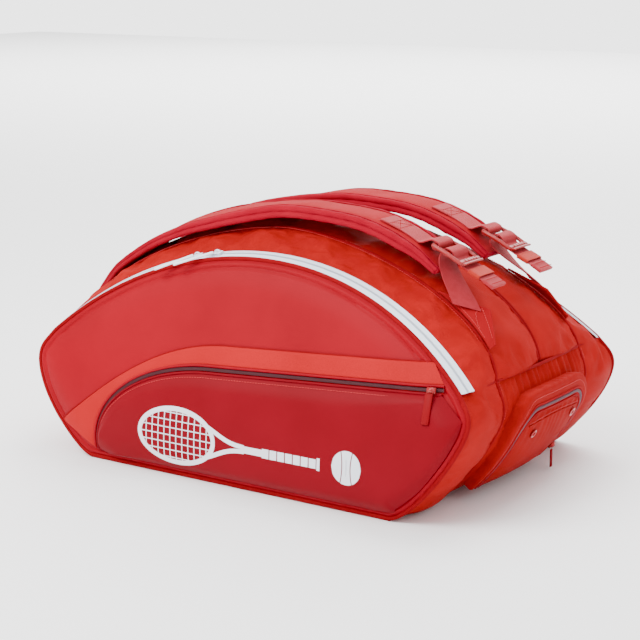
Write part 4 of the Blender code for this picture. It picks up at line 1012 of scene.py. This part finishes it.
tab = {"corners": ((0.258, -0.1120, 0.2745), (0.314, -0.082, 0.2580), (0.3200, -0.1125, 0.2120)),
       "thick": 0.0024}


# The rear strap is the front one's mirror image
def mirrorMesh(piece, rear):
    if rear:
        for v in piece.data.vertices:
            v.co.y = -v.co.y
        piece.data.flip_normals()
    return piece


def padFrame(count):
    path = smoothPath(strap["route"], count)
    lines = unit(np.gradient(path, axis=0))
    normals = np.stack([-lines[:, 1], lines[:, 0]], axis=1)
    return path, lines, normals, np.linspace(0, 1, count)


# Points across the pad at y from its middle and h above its route, leaning outwards where it starts
def padPoint(y, h, path, normals):
    h = h + y * strap["lean"] * np.clip((strap["leanFrom"] - path[:, 0]) / 0.12, 0, 1)
    return np.stack([path[:, 0] + normals[:, 0] * h, np.full(len(path), -strap["y"]) + y,
                     path[:, 1] + normals[:, 1] * h], axis=1)


def makePads():
    path, lines, normals, share = padFrame(170)
    tip = np.minimum(1.0, np.minimum((1 - share) / 0.10, share / 0.5))
    thick = strap["tip"] + (strap["thick"] - strap["tip"]) * tip
    wide = np.minimum(strap["width"] / 2 * (0.86 + 0.14 * np.minimum(1.0, (1 - share) / 0.08)),
                      strap["root"] / 2 + (strap["width"] - strap["root"]) / 2 * np.minimum(1.0,
                                                                                            share / 0.16))
    turn = np.linspace(0, 2 * math.pi, 40, endpoint=False)
    for half, rear in halves:
        sag = 0.0006 * np.sin(share * 41 + rear) + 0.0005 * np.sin(share * 77 + 1.0)
        rings = []
        for a in turn:
            c, s = math.cos(a), math.sin(a)
            across = np.sign(c) * abs(c) ** 0.42
            upward = np.sign(s) * abs(s) ** 0.55
            h = -thick / 2 + upward * thick / 2 * (1 - 0.20 * abs(across) ** 6)
            rings.append(padPoint(across * (wide - 0.0055), h + sag * (upward > 0) * (1 - across ** 2), path,
                                  normals))
        rings = np.array(rings).transpose(1, 0, 2)
        n, m = rings.shape[:2]
        faces = [(k * m + j, k * m + (j + 1) % m, (k + 1) * m + (j + 1) % m, (k + 1) * m + j)
                 for k in range(n - 1) for j in range(m)] + [tuple(range(m))[::-1],
                                                             tuple(range((n - 1) * m, n * m))]
        run = np.linspace(0, 0.72, n)
        uv = np.stack([np.broadcast_to(turn * 0.025, (n, m)), np.broadcast_to(run[:, None], (n, m))], axis=2)
        core = makeObject(f"{half}PadCore", rings.reshape(-1, 3), faces, "padTop", uv.reshape(-1, 2))
        parts = [core]
        for sign in (-1, 1):
            for k, (inset, drop, radius) in enumerate(strap["rolls"]):
                line = padPoint(sign * (wide - inset), -thick * drop, path, normals)
                ripple = 1 + 0.05 * np.sin(share * 160 + sign + k)
                parts.append(sweep(f"{half}Roll{sign}{k}", line, circle(radius, 12), (0, 1, 0), "padEdge",
                                   scale=ripple * (0.62 + 0.38 * tip)))
            seam = padPoint(sign * (wide - 0.0094), -thick * 0.06, path, normals)
            parts.append(sweep(f"{half}PadSeam{sign}", seam, circle(0.0011, 8), (0, 1, 0), "padEdge"))
        cap = padPoint(0.0, -thick / 2, path, normals)
        end = [cap[-1] + (lines[-1][0] * 0.0005, y, lines[-1][1] * 0.0005) for y in np.linspace(-0.030, 0.030,
                                                                                                12)]
        parts.append(sweep(f"{half}PadEnd", np.array(end), slab(0.0090, 0.0050),
                           (normals[-1][0], 0, normals[-1][1]),
                           "padEdge"))
        root = bezier(*(np.array([x, -strap["y"], z]) for x, z in strap["rootStrip"]), 16)
        parts.append(sweep(f"{half}PadRoot", root, slab(0.042, 0.0034), (0, 1.0, 0), "padEdge"))
        pad = mirrorMesh(join(f"{half}Pad", parts), rear)
        put(pad, "bag", [f"{half}_strap_pad"])
    print("strap pads")


lockCos, lockSin = math.cos(buckle["slope"]), math.sin(buckle["slope"])
alongLock, outLock = np.array([lockCos, 0, lockSin]), np.array([-lockSin, 0, lockCos])
across = np.array([0, 1.0, 0])


def lockPoint(a, out, y=None):
    y = -strap["y"] if y is None else y
    return np.array([buckle["centre"][0] + a * lockCos - out * lockSin, y,
                     buckle["centre"][1] + a * lockSin + out * lockCos])


# The tab's side in the seam, lifted clear of the piping
def tabSeam(rows):
    lift = 0.0022 + tab["thick"] / 2 + 0.0007
    right = junctionArch[len(junctionArch) // 2:]
    points = []
    for z in tab["corners"][0][2] + (tab["corners"][2][2] - tab["corners"][0][2]) * np.linspace(0, 1, rows):
        seam = np.array([np.interp(-z, -right[:, 2], right[:, k]) for k in range(3)])
        points.append(seam + unit(seam - (0, seam[1], 0.0)) * lift)
    return np.array(points)


def tabFace(first, second):
    face = unit(np.cross(first, second))
    return face * np.sign(face @ np.array([0.5, -0.8, 0.2]))


def makeWebbing(half, rear):
    path, _, normals, _ = padFrame(240)
    lift = strap["webbingThick"] / 2 + 0.0004
    keep = (path[:, 0] >= strap["boxFrom"]) & (path[:, 0] <= 0.206)
    onPad = np.stack([path[keep, 0] + normals[keep, 0] * lift, np.full(keep.sum(), -strap["y"]),
                      path[keep, 1] + normals[keep, 1] * lift], axis=1)
    over = buckle["thick"] / 2 + strap["webbingThick"] / 2 + 0.0017
    bar = buckle["bars"][0]
    loop = [lockPoint(bar[0] - 0.002, over), lockPoint(bar[1] - 0.001, over),
            lockPoint(bar[1] + 0.0018, over * 0.5),
            lockPoint(bar[1] + 0.0018, -over * 0.5), lockPoint(bar[1] - 0.001, -over),
            lockPoint(bar[0] + 0.0005, -over)]
    flat, overBar = onPad[:, [0, 2]], smoothPath([(p[0], p[2]) for p in loop], 34)
    leave, arrive = unit(flat[-1] - flat[-3]), unit(overBar[1] - overBar[0])
    link = bezier(flat[-1], flat[-1] + leave * 0.008, overBar[0] - arrive * 0.007, overBar[0], 14)[1:-1]
    line = np.vstack([flat, link, overBar])
    offsets = -strap["y"] + np.linspace(-1, 1, 9) * strap["webbing"] / 2
    grid = np.array([[(x, y, z) for y in offsets] for x, z in line])
    upward = gridNormals(grid)
    parts = [thickGrid(f"{half}PadWebbing", grid + upward * strap["webbingThick"] / 2, strap["webbingThick"],
                       "webbing",
                       normals=upward)]
    fold = onPad[:5]
    parts.append(sweep(f"{half}WebbingFold", np.array([fold[0] + (fold[0] - fold[4]) * 0.2, *fold]),
                       slab(strap["webbing"] + 0.0004, 0.0026), across, "webbing"))
    up = np.array([normals[keep][8][0], 0, normals[keep][8][1]])
    w = strap["webbing"] / 2 - 0.003
    stitched = onPad[3:-11]
    top = np.array([p + np.array([n[0], 0, n[1]]) * 0.0009 for p, n in zip(stitched, normals[keep][3:-11])])
    count = len(top)
    slant = np.linspace(-w, w, count)
    rows = [(top + across * w, up), (top - across * w, up), (top + across * slant[:, None], up),
            (top - across * slant[:, None], up)]
    for p in (top[0], top[-1]):
        rows.append((np.array([p + across * y for y in np.linspace(-w, w, 12)]), up))
    parts.append(along(f"{half}BoxStitch", rows, *stitch["webbing"], "tab"))
    piece = mirrorMesh(join(f"{half}PadWebbings", parts), rear)
    put(piece, "bag", [f"{half}_pad_webbing"])


# Two rails and three bars; the last bar has a flared lip
def makeLock(half, rear):
    y0, w = -strap["y"], buckle["width"] / 2
    parts = []
    for sign in (-1, 1):
        stations = [lockPoint(a, h, y0 + sign * (w - 0.0024 + bulge)) for a, h, bulge in
                    ((-0.0255, 0.0, -0.001), (-0.016, 0.0004, 0.0002), (-0.002, 0.0012, 0.0008),
                     (0.012, 0.0004, 0.0006),
                     (0.0235, -0.0004, 0.0))]
        rail = smoothPath(stations, 30)
        parts.append(sweep(f"{half}Rail{sign}", rail, slab(0.0056, 0.0058), (0, 1, 0), "lock"))
    for k, (low, high) in enumerate(buckle["bars"]):
        wide = high - low
        arch = [lockPoint((low + high) / 2, 0.0012 * (1 - (y / w) ** 2),
                          y0 + y) for y in np.linspace(-w + 0.001, w - 0.001, 24)]
        thick = (0.0052, 0.0050, 0.0054)[k]
        parts.append(sweep(f"{half}Bar{k}", np.array(arch), slab(wide, thick), alongLock, "lock"))
    lip = [lockPoint(buckle["bars"][2][1] + 0.0012, 0.0016 + 0.0006 * (1 - (y / w) ** 2), y0 + y)
           for y in np.linspace(-w * 0.94, w * 0.94, 24)]
    parts.append(sweep(f"{half}Lip", np.array(lip), slab(0.0062, 0.0030), unit(alongLock + outLock * 0.55),
                       "lock"))
    for y in np.linspace(-0.014, 0.014, 5):
        parts.append(box(f"{half}Grip{y:.3f}", lockPoint(0.0225, 0.0036, y0 + y),
                         (alongLock, (0, 1, 0), outLock),
                         (0.0052, 0.0014, 0.0012), "lock", 0.0004, segments=1))
    piece = mirrorMesh(join(f"{half}Lock", parts), rear)
    put(piece, "bag", [f"{half}_ladder_lock"])


# Webbing from the tab up to the lock's middle bar, over it, under the last bar and out as a folded tail
def makeAdjuster(half, rear):
    bar, last = buckle["bars"][1], buckle["bars"][2]
    over = buckle["thick"] / 2 + strap["webbingThick"] / 2 + 0.0022
    under = buckle["thick"] / 2 + strap["webbingThick"] / 2 + 0.0006
    wide = strap["webbing"] / 2
    corner, outer, tip = (np.array(p) for p in tab["corners"])
    top = (corner + outer) / 2
    side, up = unit(outer - corner), unit(top - tip)
    face = tabFace(side, up)
    low = top - up * 0.006 + face * 0.0010
    high = lockPoint(bar[0] - 0.0050, -0.0065)
    edges = [bezier(low + side * wide * k, low + side * wide * k + up * 0.022,
                    high + np.array([0, wide * k, 0]) - outLock * 0.016 - alongLock * 0.002,
                    high + np.array([0, wide * k, 0]), 34) for k in (-1, 1)]
    shares = np.linspace(0, 1, 13)
    rows = [a + (b - a) * shares[:, None] for a, b in zip(*edges)]
    loop = smoothPath(((bar[0] - 0.0050, -0.0065), (bar[0] - 0.0046, -0.0020), (bar[0] - 0.0030, 0.0030),
                       (bar[0] + 0.0006, over), (bar[1] - 0.0006, over), (bar[1] + 0.0036, 0.0022),
                       (bar[1] + 0.0070, -0.0024), (last[0] - 0.0010, -under),
                       (last[1] + 0.002, -under - 0.0002),
                       (last[1] + 0.012, -0.0046), (last[1] + 0.022, -0.0050), (last[1] + 0.034, -0.0058),
                       (last[1] + buckle["tail"], -0.0074)), 110)
    offsets = -strap["y"] + wide * (2 * shares - 1)
    rows += [np.array([lockPoint(a, out, y) for y in offsets]) for a, out in loop[1:]]
    grid = np.array(rows)
    normals = gridNormals(grid)
    parts = [thickGrid(f"{half}Adjuster", grid + normals * strap["webbingThick"] / 2, strap["webbingThick"],
                       "webbing",
                       normals=normals)]
    fold = [lockPoint(last[1] + a, -0.0058 - d) for a, d in ((0.032, 0.0), (0.040, 0.0006), (0.0485, 0.0014))]
    parts.append(sweep(f"{half}TailFold", np.array(fold), slab(strap["webbing"], 0.0044), across, "webbing"))
    rows = [(np.array([lockPoint(last[1] + a, -0.0026, -strap["y"] + y) for y in np.linspace(-0.016, 0.016,
                                                                                             10)]),
             lockPoint(0, 1, 0) - lockPoint(0, 0, 0)) for a in (0.0355, 0.0455)]
    parts.append(along(f"{half}TailStitch", rows, *stitch["webbing"], "tab"))
    piece = mirrorMesh(join(f"{half}Adjusting", parts), rear)
    put(piece, "bag", [f"{half}_adjusting_webbing"])
    start = last[1] + 0.009
    w, h = strap["webbing"] / 2 + 0.0012, 0.0027
    turn = np.linspace(0, 2 * math.pi, 40, endpoint=False)
    ring = [lockPoint(start + 0.009, -0.0047 + h * np.sign(math.sin(a)) * abs(math.sin(a)) ** 0.4,
                      -strap["y"] + w * np.sign(math.cos(a)) * abs(math.cos(a)) ** 0.25) for a in turn]
    loop = sweep(f"{half}Keeper", np.array(ring), slab(0.018, 0.0012), alongLock, "keeper", closed=True)
    put(mirrorMesh(loop, rear), "bag", [f"{half}_webbing_keeper"])


# A triangle of webbing cloth, one side in the seam, bound and stitched round its edge
def makeTab(half, rear):
    corner, outer, tip = (np.array(p) for p in tab["corners"])
    face = tabFace(outer - corner, tip - corner)
    seam = tabSeam(24)
    steps = np.linspace(0, 1, 13)
    grid = []
    for k, inner in enumerate(seam):
        share = k / (len(seam) - 1)
        far = outer * (1 - share) + (seam[-1] + (0.0045, 0.006, 0.0045)) * share
        puff = 0.0014 * math.sin(math.pi * share) * np.sin(np.pi * steps)
        grid.append(inner + (far - inner) * steps[:, None] + face * puff[:, None])
    grid = np.array(grid)
    normals = np.broadcast_to(face, grid.shape)
    parts = [thickGrid(f"{half}TabCloth", grid + normals * 0.0012, 0.0024, "tab", normals=normals)]
    rim = np.vstack([grid[0], grid[1:, -1]])
    parts.append(sweep(f"{half}TabRim", rim + face * 0.0006, circle(0.0015, 8), face, "tab"))
    rows = [(grid[2, 2:-2] + face * 0.0015, face), (grid[1:-5, -3] + face * 0.0015, face),
            (grid[1:-5, 2] + face * 0.0015, face)]
    diagonal = np.array([grid[k, int(2 + 8 * (1 - k / 16))] for k in range(2, 17)])
    rows.append((diagonal + face * 0.0015, face))
    parts.append(along(f"{half}TabStitch", rows, *stitch["tab"], "thread"))
    piece = mirrorMesh(join(f"{half}Tab", parts), rear)
    put(piece, "bag", [f"{half}_anchor_tab"])


def makeStraps():
    makePads()
    for half, rear in halves:
        makeWebbing(half, rear)
        makeLock(half, rear)
        makeAdjuster(half, rear)
        makeTab(half, rear)
    print("straps")


# End pocket

endPocket = {"half": 0.108, "foot": 0.050, "top": 0.190, "corner": 0.046, "height": 0.016, "rim": 0.014,
             "tape": 0.009, "crown": 0.006, "eyelets": ((-0.052, 0.142), (0.060, 0.146)), "stitchAt": 0.0080,
             "panelHalf": 0.082}
endFine = resample(junctionGuide[seamLast:][::-1][:, [0, 2]], 160)
endRun = np.concatenate([[0], np.cumsum(np.linalg.norm(np.diff(endFine, axis=0), axis=1))])
endLines = np.gradient(endFine, axis=0)
endNormals = unit(np.stack([endLines[:, 1], -endLines[:, 0]], axis=1))


# Points on the right end: across, up from the base along it, and out of it
def endPoint(y, s, h):
    y, s, h = np.broadcast_arrays(np.asarray(y, float), s, h)
    h = h + 0.004 * (1 - (y / shape["junctionY"]) ** 2)
    place = [np.interp(s, endRun, endFine[:, k]) for k in range(2)]
    normal = [np.interp(s, endRun, endNormals[:, k]) for k in range(2)]
    return np.stack([place[0] + normal[0] * h, y, place[1] + normal[1] * h], axis=-1)


def endOutline(inset, count=121):
    half, top = endPocket["half"] - inset, endPocket["top"] - inset
    radius = endPocket["corner"] - inset * 0.6
    turn = np.linspace(0, math.pi / 2, 24)
    left = [(-half, endPocket["foot"]), (-half, (endPocket["foot"] + top - radius) / 2)]
    left += [(-half + radius - radius * math.cos(a), top - radius + radius * math.sin(a)) for a in turn]
    left = np.array(left + [(-half / 3, top)])
    return resample(np.vstack([left, (left * (-1, 1))[::-1]]), count)


def endRing(inset, h):
    line = endOutline(inset)
    return endPoint(line[:, 0], line[:, 1], h)


def panelSwell(up, wide):
    return endPocket["crown"] * np.sin(math.pi * up ** 0.8) * (1 - wide ** 4)


def makeEndPocket():
    high = endPocket["height"]
    profile = [(-0.0012, -0.001), (-0.0006, 0.004), (0.0, 0.008), (0.0002, high - 0.005),
               (0.0012, high - 0.0018),
               (0.0034, high - 0.0002), (0.006, high), (0.010, high - 0.0001),
               (endPocket["rim"] - 0.001, high - 0.0004),
               (endPocket["rim"], high - 0.0012)]
    grid = np.array([endRing(d, h) for d, h in profile])
    t = np.linspace(0, 1, grid.shape[1])[None, :]
    row = np.arange(len(profile))[:, None]
    puckers = 0.0007 * np.sin(t * 150 + 2 * np.sin(t * 23)) * np.exp(-((row - 2) / 2.5) ** 2)
    grid = grid + gridNormals(grid, (0.2, 0, 0.1)) * puckers[..., None]
    # The end pocket's rim, panel and gather seam take the darker end cloth, which is painted shade of the end
    rim = thickGrid("endRim", grid, 0.0016, "shadedEndCloth", away=(0.2, 0, 0.1))
    inner = endPocket["rim"]
    tapeGrid = np.array([endRing(inner + d, high - 0.0010) for d in np.linspace(0, endPocket["tape"], 5)])
    tape = thickGrid("endTape", tapeGrid, 0.0010, "dark", away=(0.2, 0, 0.1))
    coil = sweep("endCoil", endRing(inner + 0.0035, high - 0.0006), slab(0.0046, 0.0014),
                 endRing(inner + 0.0065, high - 0.0006) - endRing(inner + 0.0005, high - 0.0006), "endCoil")
    ups = endRing(inner + 0.0035, high + 1) - endRing(inner + 0.0035, high)
    teeth = along("endTeeth", [(endRing(inner + 0.0035, high + 0.0002), ups)], 0.0017,
                  (0.0009, 0.0036, 0.0006), "endCoil")
    cords = [tube(f"endCord{k}", endRing(inner + d, high - 0.0002), 0.0013, "tab", (0, 0.3, 1))
             for k, d in enumerate((0.0002, 0.0078))]
    put(rim, "bag", ["end_pocket_rim"])
    put(join("endZip", [tape, coil, teeth] + cords), "bag", ["end_pocket_tape"])
    rows = [(endRing(endPocket["stitchAt"], high + 0.0001), ups)]
    put(along("endRimStitches", rows, *stitch["endRim"], "thread"), "bag", ())
    panelInset = inner + endPocket["tape"] + 0.0004
    line = endOutline(panelInset)
    front = resample(line[:len(line) // 2 + 1], 61)
    columns = np.linspace(-1, 1, 81)
    foot, top = front[0][1], front[-1][1]
    y = front[:, 0][:, None] * -columns[None, :]
    s = np.broadcast_to(front[:, 1][:, None], y.shape)
    up = (s - foot) / (top - foot)
    swell = panelSwell(np.clip(up, 0, 1), columns[None, :])
    edge = np.minimum(1 - np.abs(columns)[None, :], (1 - up) * 1.2)
    fromTop = np.exp(-((1 - up) / 0.16)) * ease((1 - up) / 0.03)
    gather = 0.0011 * np.sin(y * 430 + 2.0 * np.sin(y * 70)) * fromTop
    gather = gather + 0.0008 * np.sin(s * 260 + 3 * y / 0.08) * np.exp(-(1 - np.abs(columns)[None, :]) / 0.2)
    grid = endPoint(y, s, high + swell + gather * (edge > 0))
    panel = thickGrid("endPanel", grid, 0.0020, "shadedEndCloth", away=(0.2, 0, 0.1))
    put(panel, "end_pocket_flap", ["end_pocket_panel"])
    seamY = np.linspace(-0.070, 0.070, 60)
    seamS = 0.1545 + 0.004 * (1 - (seamY / 0.07) ** 2)
    upS = (seamS - foot) / (top - foot)
    seamH = high + panelSwell(upS, seamY / endPocket["panelHalf"]) + 0.0004
    seam = endPoint(seamY, seamS, seamH)
    put(tube("endGatherSeam", seam, 0.0011, "shadedEndCloth", (0, 0, 1)), "end_pocket_flap", ())
    below = endPoint(seamY, seamS + 0.0035, seamH + 0.0002)
    upward = endPoint(seamY, seamS, seamH + 1) - endPoint(seamY, seamS, seamH)
    put(along("endGatherStitches", [(below, upward)], *stitch["gather"], "thread"), "end_pocket_flap", ())
    for name, (ey, es) in zip(("front", "rear"), endPocket["eyelets"]):
        up1 = (es - foot) / (top - foot)
        h = high + panelSwell(up1, ey / endPocket["panelHalf"])
        centre = endPoint(ey, es, h + 0.0016)
        out = unit(endPoint(ey, es, h + 0.01) - centre)
        a = unit(np.cross((0, 1, 0), out))
        b = np.cross(out, a)
        turn = np.linspace(0, 2 * math.pi, 40, endpoint=False)
        ring = np.array([centre + a * math.cos(q) * 0.0048 + b * math.sin(q) * 0.0048 for q in turn])
        eyelet = sweep(f"eyelet{name}", ring, slab(0.0034, 0.0018), ring - centre, "eyelet", closed=True)
        hole = makeObject(f"hole{name}", np.vstack([ring + (centre - ring) * 0.2 - out * 0.0006,
                                                    ring + (centre - ring) * 0.2 - out * 0.0010]),
                          [tuple(range(40)), tuple(range(40, 80))[::-1]]
                          + [(k, (k + 1) % 40, (k + 1) % 40 + 40, k + 40) for k in range(40)], "dark")
        put(join(f"{name}Eyelet", [eyelet, hole]), "end_pocket_flap", [f"vent_eyelet_{name}"])
    print("end pocket")


# Sliders and pullers

# Two plates with a neck between them and a loop for the puller
def sliderPiece(name, centre, axes, size, mat, bridge, rear=False):
    a, b, c = (np.asarray(v, float) for v in axes)
    parts = [box(f"{name}Top", np.asarray(centre) + c * size[2] * 0.30, (a, b, c),
                 (size[0], size[1], size[2] * 0.36), mat,
                 0.0009, rear, 3),
             box(f"{name}Low", np.asarray(centre) - c * size[2] * 0.32, (a, b, c),
                 (size[0] * 0.94, size[1], size[2] * 0.30),
                 mat, 0.0005, rear),
             box(f"{name}Neck", np.asarray(centre) + a * size[0] * 0.25, (a, b, c),
                 (size[0] * 0.3, size[1] * 0.4, size[2]),
                 mat, 0.0004, rear)]
    top = np.asarray(centre) + c * size[2] * 0.45
    turn = np.linspace(0, math.pi, 18)
    arc = np.array([top + a * math.cos(q) * bridge[0] / 2 + c * math.sin(q) ** 0.7 * bridge[2] for q in turn])
    parts.append(sweep(f"{name}Bridge", arc, slab(bridge[1], 0.0012), b, mat, rear))
    return join(name, parts)


def pullerFrame(angle, turnBy):
    alongZip = math.cos(angle) * np.array([1.0, 0, 0]) - math.sin(angle) * zipUp
    out0 = math.sin(angle) * np.array([1.0, 0, 0]) + math.cos(angle) * zipUp
    frontward = -(zipRun * zipAxis + shape["zipRise"] * out0)
    out = zipRun * out0 - shape["zipRise"] * zipAxis
    direction = -alongZip * math.cos(turnBy) + frontward * math.sin(turnBy)
    across = -alongZip * math.sin(turnBy) - frontward * math.cos(turnBy)
    pivot = zipPoint(angle, shape["coil"], 0.0066) + direction * 0.0060
    return pivot, direction, across, out, alongZip, frontward


mainPuller = {"length": 0.058, "halfWide": 0.0036, "turn": math.radians(34),
              "places": (("left", math.radians(-14)), ("right", math.radians(-10)))}


def makeSliders():
    length, halfWide = mainPuller["length"], mainPuller["halfWide"]
    for half, rear in halves:
        for name, angle in mainPuller["places"]:
            pivot, direction, across, out, alongZip, frontward = pullerFrame(angle, mainPuller["turn"])
            base = zipPoint(angle, shape["coil"], 0.0003 + 0.0020 + 0.0012)
            piece = sliderPiece(f"{half}Slider{name}", base, (alongZip, frontward, out),
                                (0.013, 0.0095, 0.0036),
                                "whitePlastic", (0.0080, 0.0026, 0.0032), rear)
            put(piece, f"{half}_slider_{name}", [f"{half}_zip_slider_{name}"])
            outlinePath = [pivot + direction * (length * t) for t in np.linspace(0, 1, 30)]
            loopPath = [pivot + direction * (length * t) + across * sign * (halfWide - 0.0008)
                        for sign in (1, -1) for t in np.linspace(0.02, 0.98, 20)[::sign]]
            frameLoop = sweep(f"{half}PullRim{name}", np.array(loopPath), circle(0.0010, 8),
                              np.tile(out, (40, 1)),
                              "whitePlastic", rear, closed=True)
            plate = sweep(f"{half}PullPlate{name}", np.array(outlinePath),
                          slab(halfWide * 2 - 0.0016, 0.0010), across,
                          "white", rear)
            knob = box(f"{half}PullTip{name}", pivot + direction * (length - 0.006), (direction, across, out),
                       (0.012, halfWide * 2, 0.0022), "whitePlastic", 0.0009, rear, 3)
            ringAt = pivot + direction * 0.0012
            eye = box(f"{half}PullEye{name}", ringAt, (direction, across, out), (0.0030, 0.0068, 0.0020),
                      "whitePlastic",
                      0.0008, rear)
            put(join(f"{half}Puller{name}", [frameLoop, plate, knob, eye]), f"{half}_puller_{name}",
                [f"{half}_zip_puller_{name}"])
    print("sliders")


# A CAD piece with rounded edges and its own finish
def dressNode(node, mat, body):
    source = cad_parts[node]
    mesh = source.data.copy()
    made = bpy.data.objects.new(f"{node}Dressed", mesh)
    bpy.context.scene.collection.objects.link(made)
    mesh.materials.clear()
    mesh.materials.append(mats[mat])
    work = bmesh.new()
    work.from_mesh(mesh)
    bmesh.ops.remove_doubles(work, verts=work.verts, dist=1e-5)
    bmesh.ops.dissolve_limit(work, angle_limit=0.02, verts=work.verts, edges=work.edges)
    bmesh.ops.bevel(work, geom=list(work.edges), offset=0.00035, segments=2, affect="EDGES")
    work.to_mesh(mesh)
    work.free()
    mesh.shade_smooth()
    put(made, body, [node])


def makeSmallParts():
    for node, mat, body in (("pocket_slider", "lock", "pocket_slider_body"),
                            ("pocket_puller", "puller", "pocket_puller_body"),
                            ("end_pocket_slider", "eyelet", "end_pocket_slider_body"),
                            ("end_pocket_puller", "puller", "end_pocket_puller_body")):
        dressNode(node, mat, body)
    print("small pullers")


# Build

makeFaces()
makeZips()
makeGussets()
makePipings()
makeBase()
pocketFace = makePocket()
makeMotif(pocketFace)
makeStraps()
makeEndPocket()
makeSliders()
makeSmallParts()


# Floor, light and camera

studio = {"floor": "#FFFFFF", "floorSize": 18, "sky": (0.6, 2.0), "far": 2.7}
# Place, size, power and what the light faces
lights = {
    "key": ((-0.9, -1.8, 2.1), (1.8, 1.2), 100.0, (0, 0, 0.16)),
    "fill": ((2.2, -0.9, 1.2), (1.4, 1.4), 6.0, (0, 0, 0.16)),
    "top": ((0.2, 0.9, 2.2), (1.8, 0.9), 40.0, (0, 0, 0.16)),
    "back": ((-3.2, 6.2, 3.5), (9.0, 6.0), 950.0, (-3.2, 6.21, 0.0)),
}
view = {"azimuth": math.radians(34.0), "elevation": math.radians(12.4), "distance": 2.46,
        "target": (-0.007, 0.0, 0.191), "lens": 95.6, "sensor": 36.0}


def addToScene(name, data, place, direction):
    item = bpy.data.objects.new(name, data)
    item.location = place
    item.rotation_euler = direction.to_track_quat("-Z", "Y").to_euler()
    bpy.context.scene.collection.objects.link(item)
    return item


def makeStudio():
    bpy.ops.mesh.primitive_plane_add(size=studio["floorSize"])
    floor = bpy.context.object
    floor.name = "floor"
    surface, _, _ = baseMaterial("studioFloor", {"Base Color": linear(studio["floor"]), "Roughness": 0.85})
    floor.data.materials.append(surface)
    world = bpy.data.worlds.new("studio")
    bpy.context.scene.world = world
    world.use_nodes = True
    tree = world.node_tree
    background = tree.nodes["Background"]
    background.inputs["Color"].default_value = (1, 1, 1, 1)
    where = addNode(tree, "ShaderNodeTexCoord")
    split = addNode(tree, "ShaderNodeSeparateXYZ", links={0: (where, "Generated")})
    sky = addNode(tree, "ShaderNodeMapRange", {3: studio["sky"][0], 4: studio["sky"][1]}, {0: (split, "Z")})
    low = addNode(tree, "ShaderNodeMath", {"operation": "LESS_THAN", 1: 0.0}, {0: (split, "Z")})
    both = addNode(tree, "ShaderNodeMath", {"operation": "MULTIPLY_ADD", 1: studio["far"]},
                   {0: (low, 0), 2: (sky, 0)})
    tree.links.new(both.outputs[0], background.inputs["Strength"])
    for name, (place, size, power, target) in lights.items():
        lamp = bpy.data.lights.new(name, "AREA")
        lamp.shape = "RECTANGLE"
        lamp.size, lamp.size_y = size
        lamp.energy = power
        addToScene(name, lamp, place, Vector(target) - Vector(place))
    azimuth, elevation = view["azimuth"], view["elevation"]
    back = Vector((math.sin(azimuth) * math.cos(elevation), -math.cos(azimuth) * math.cos(elevation),
                   math.sin(elevation)))
    camera = bpy.data.cameras.new("camera")
    camera.lens, camera.sensor_width = view["lens"], view["sensor"]
    place = Vector(view["target"]) + back * view["distance"]
    bpy.context.scene.camera = addToScene("camera", camera, place, -back)
    print("studio")


makeStudio()
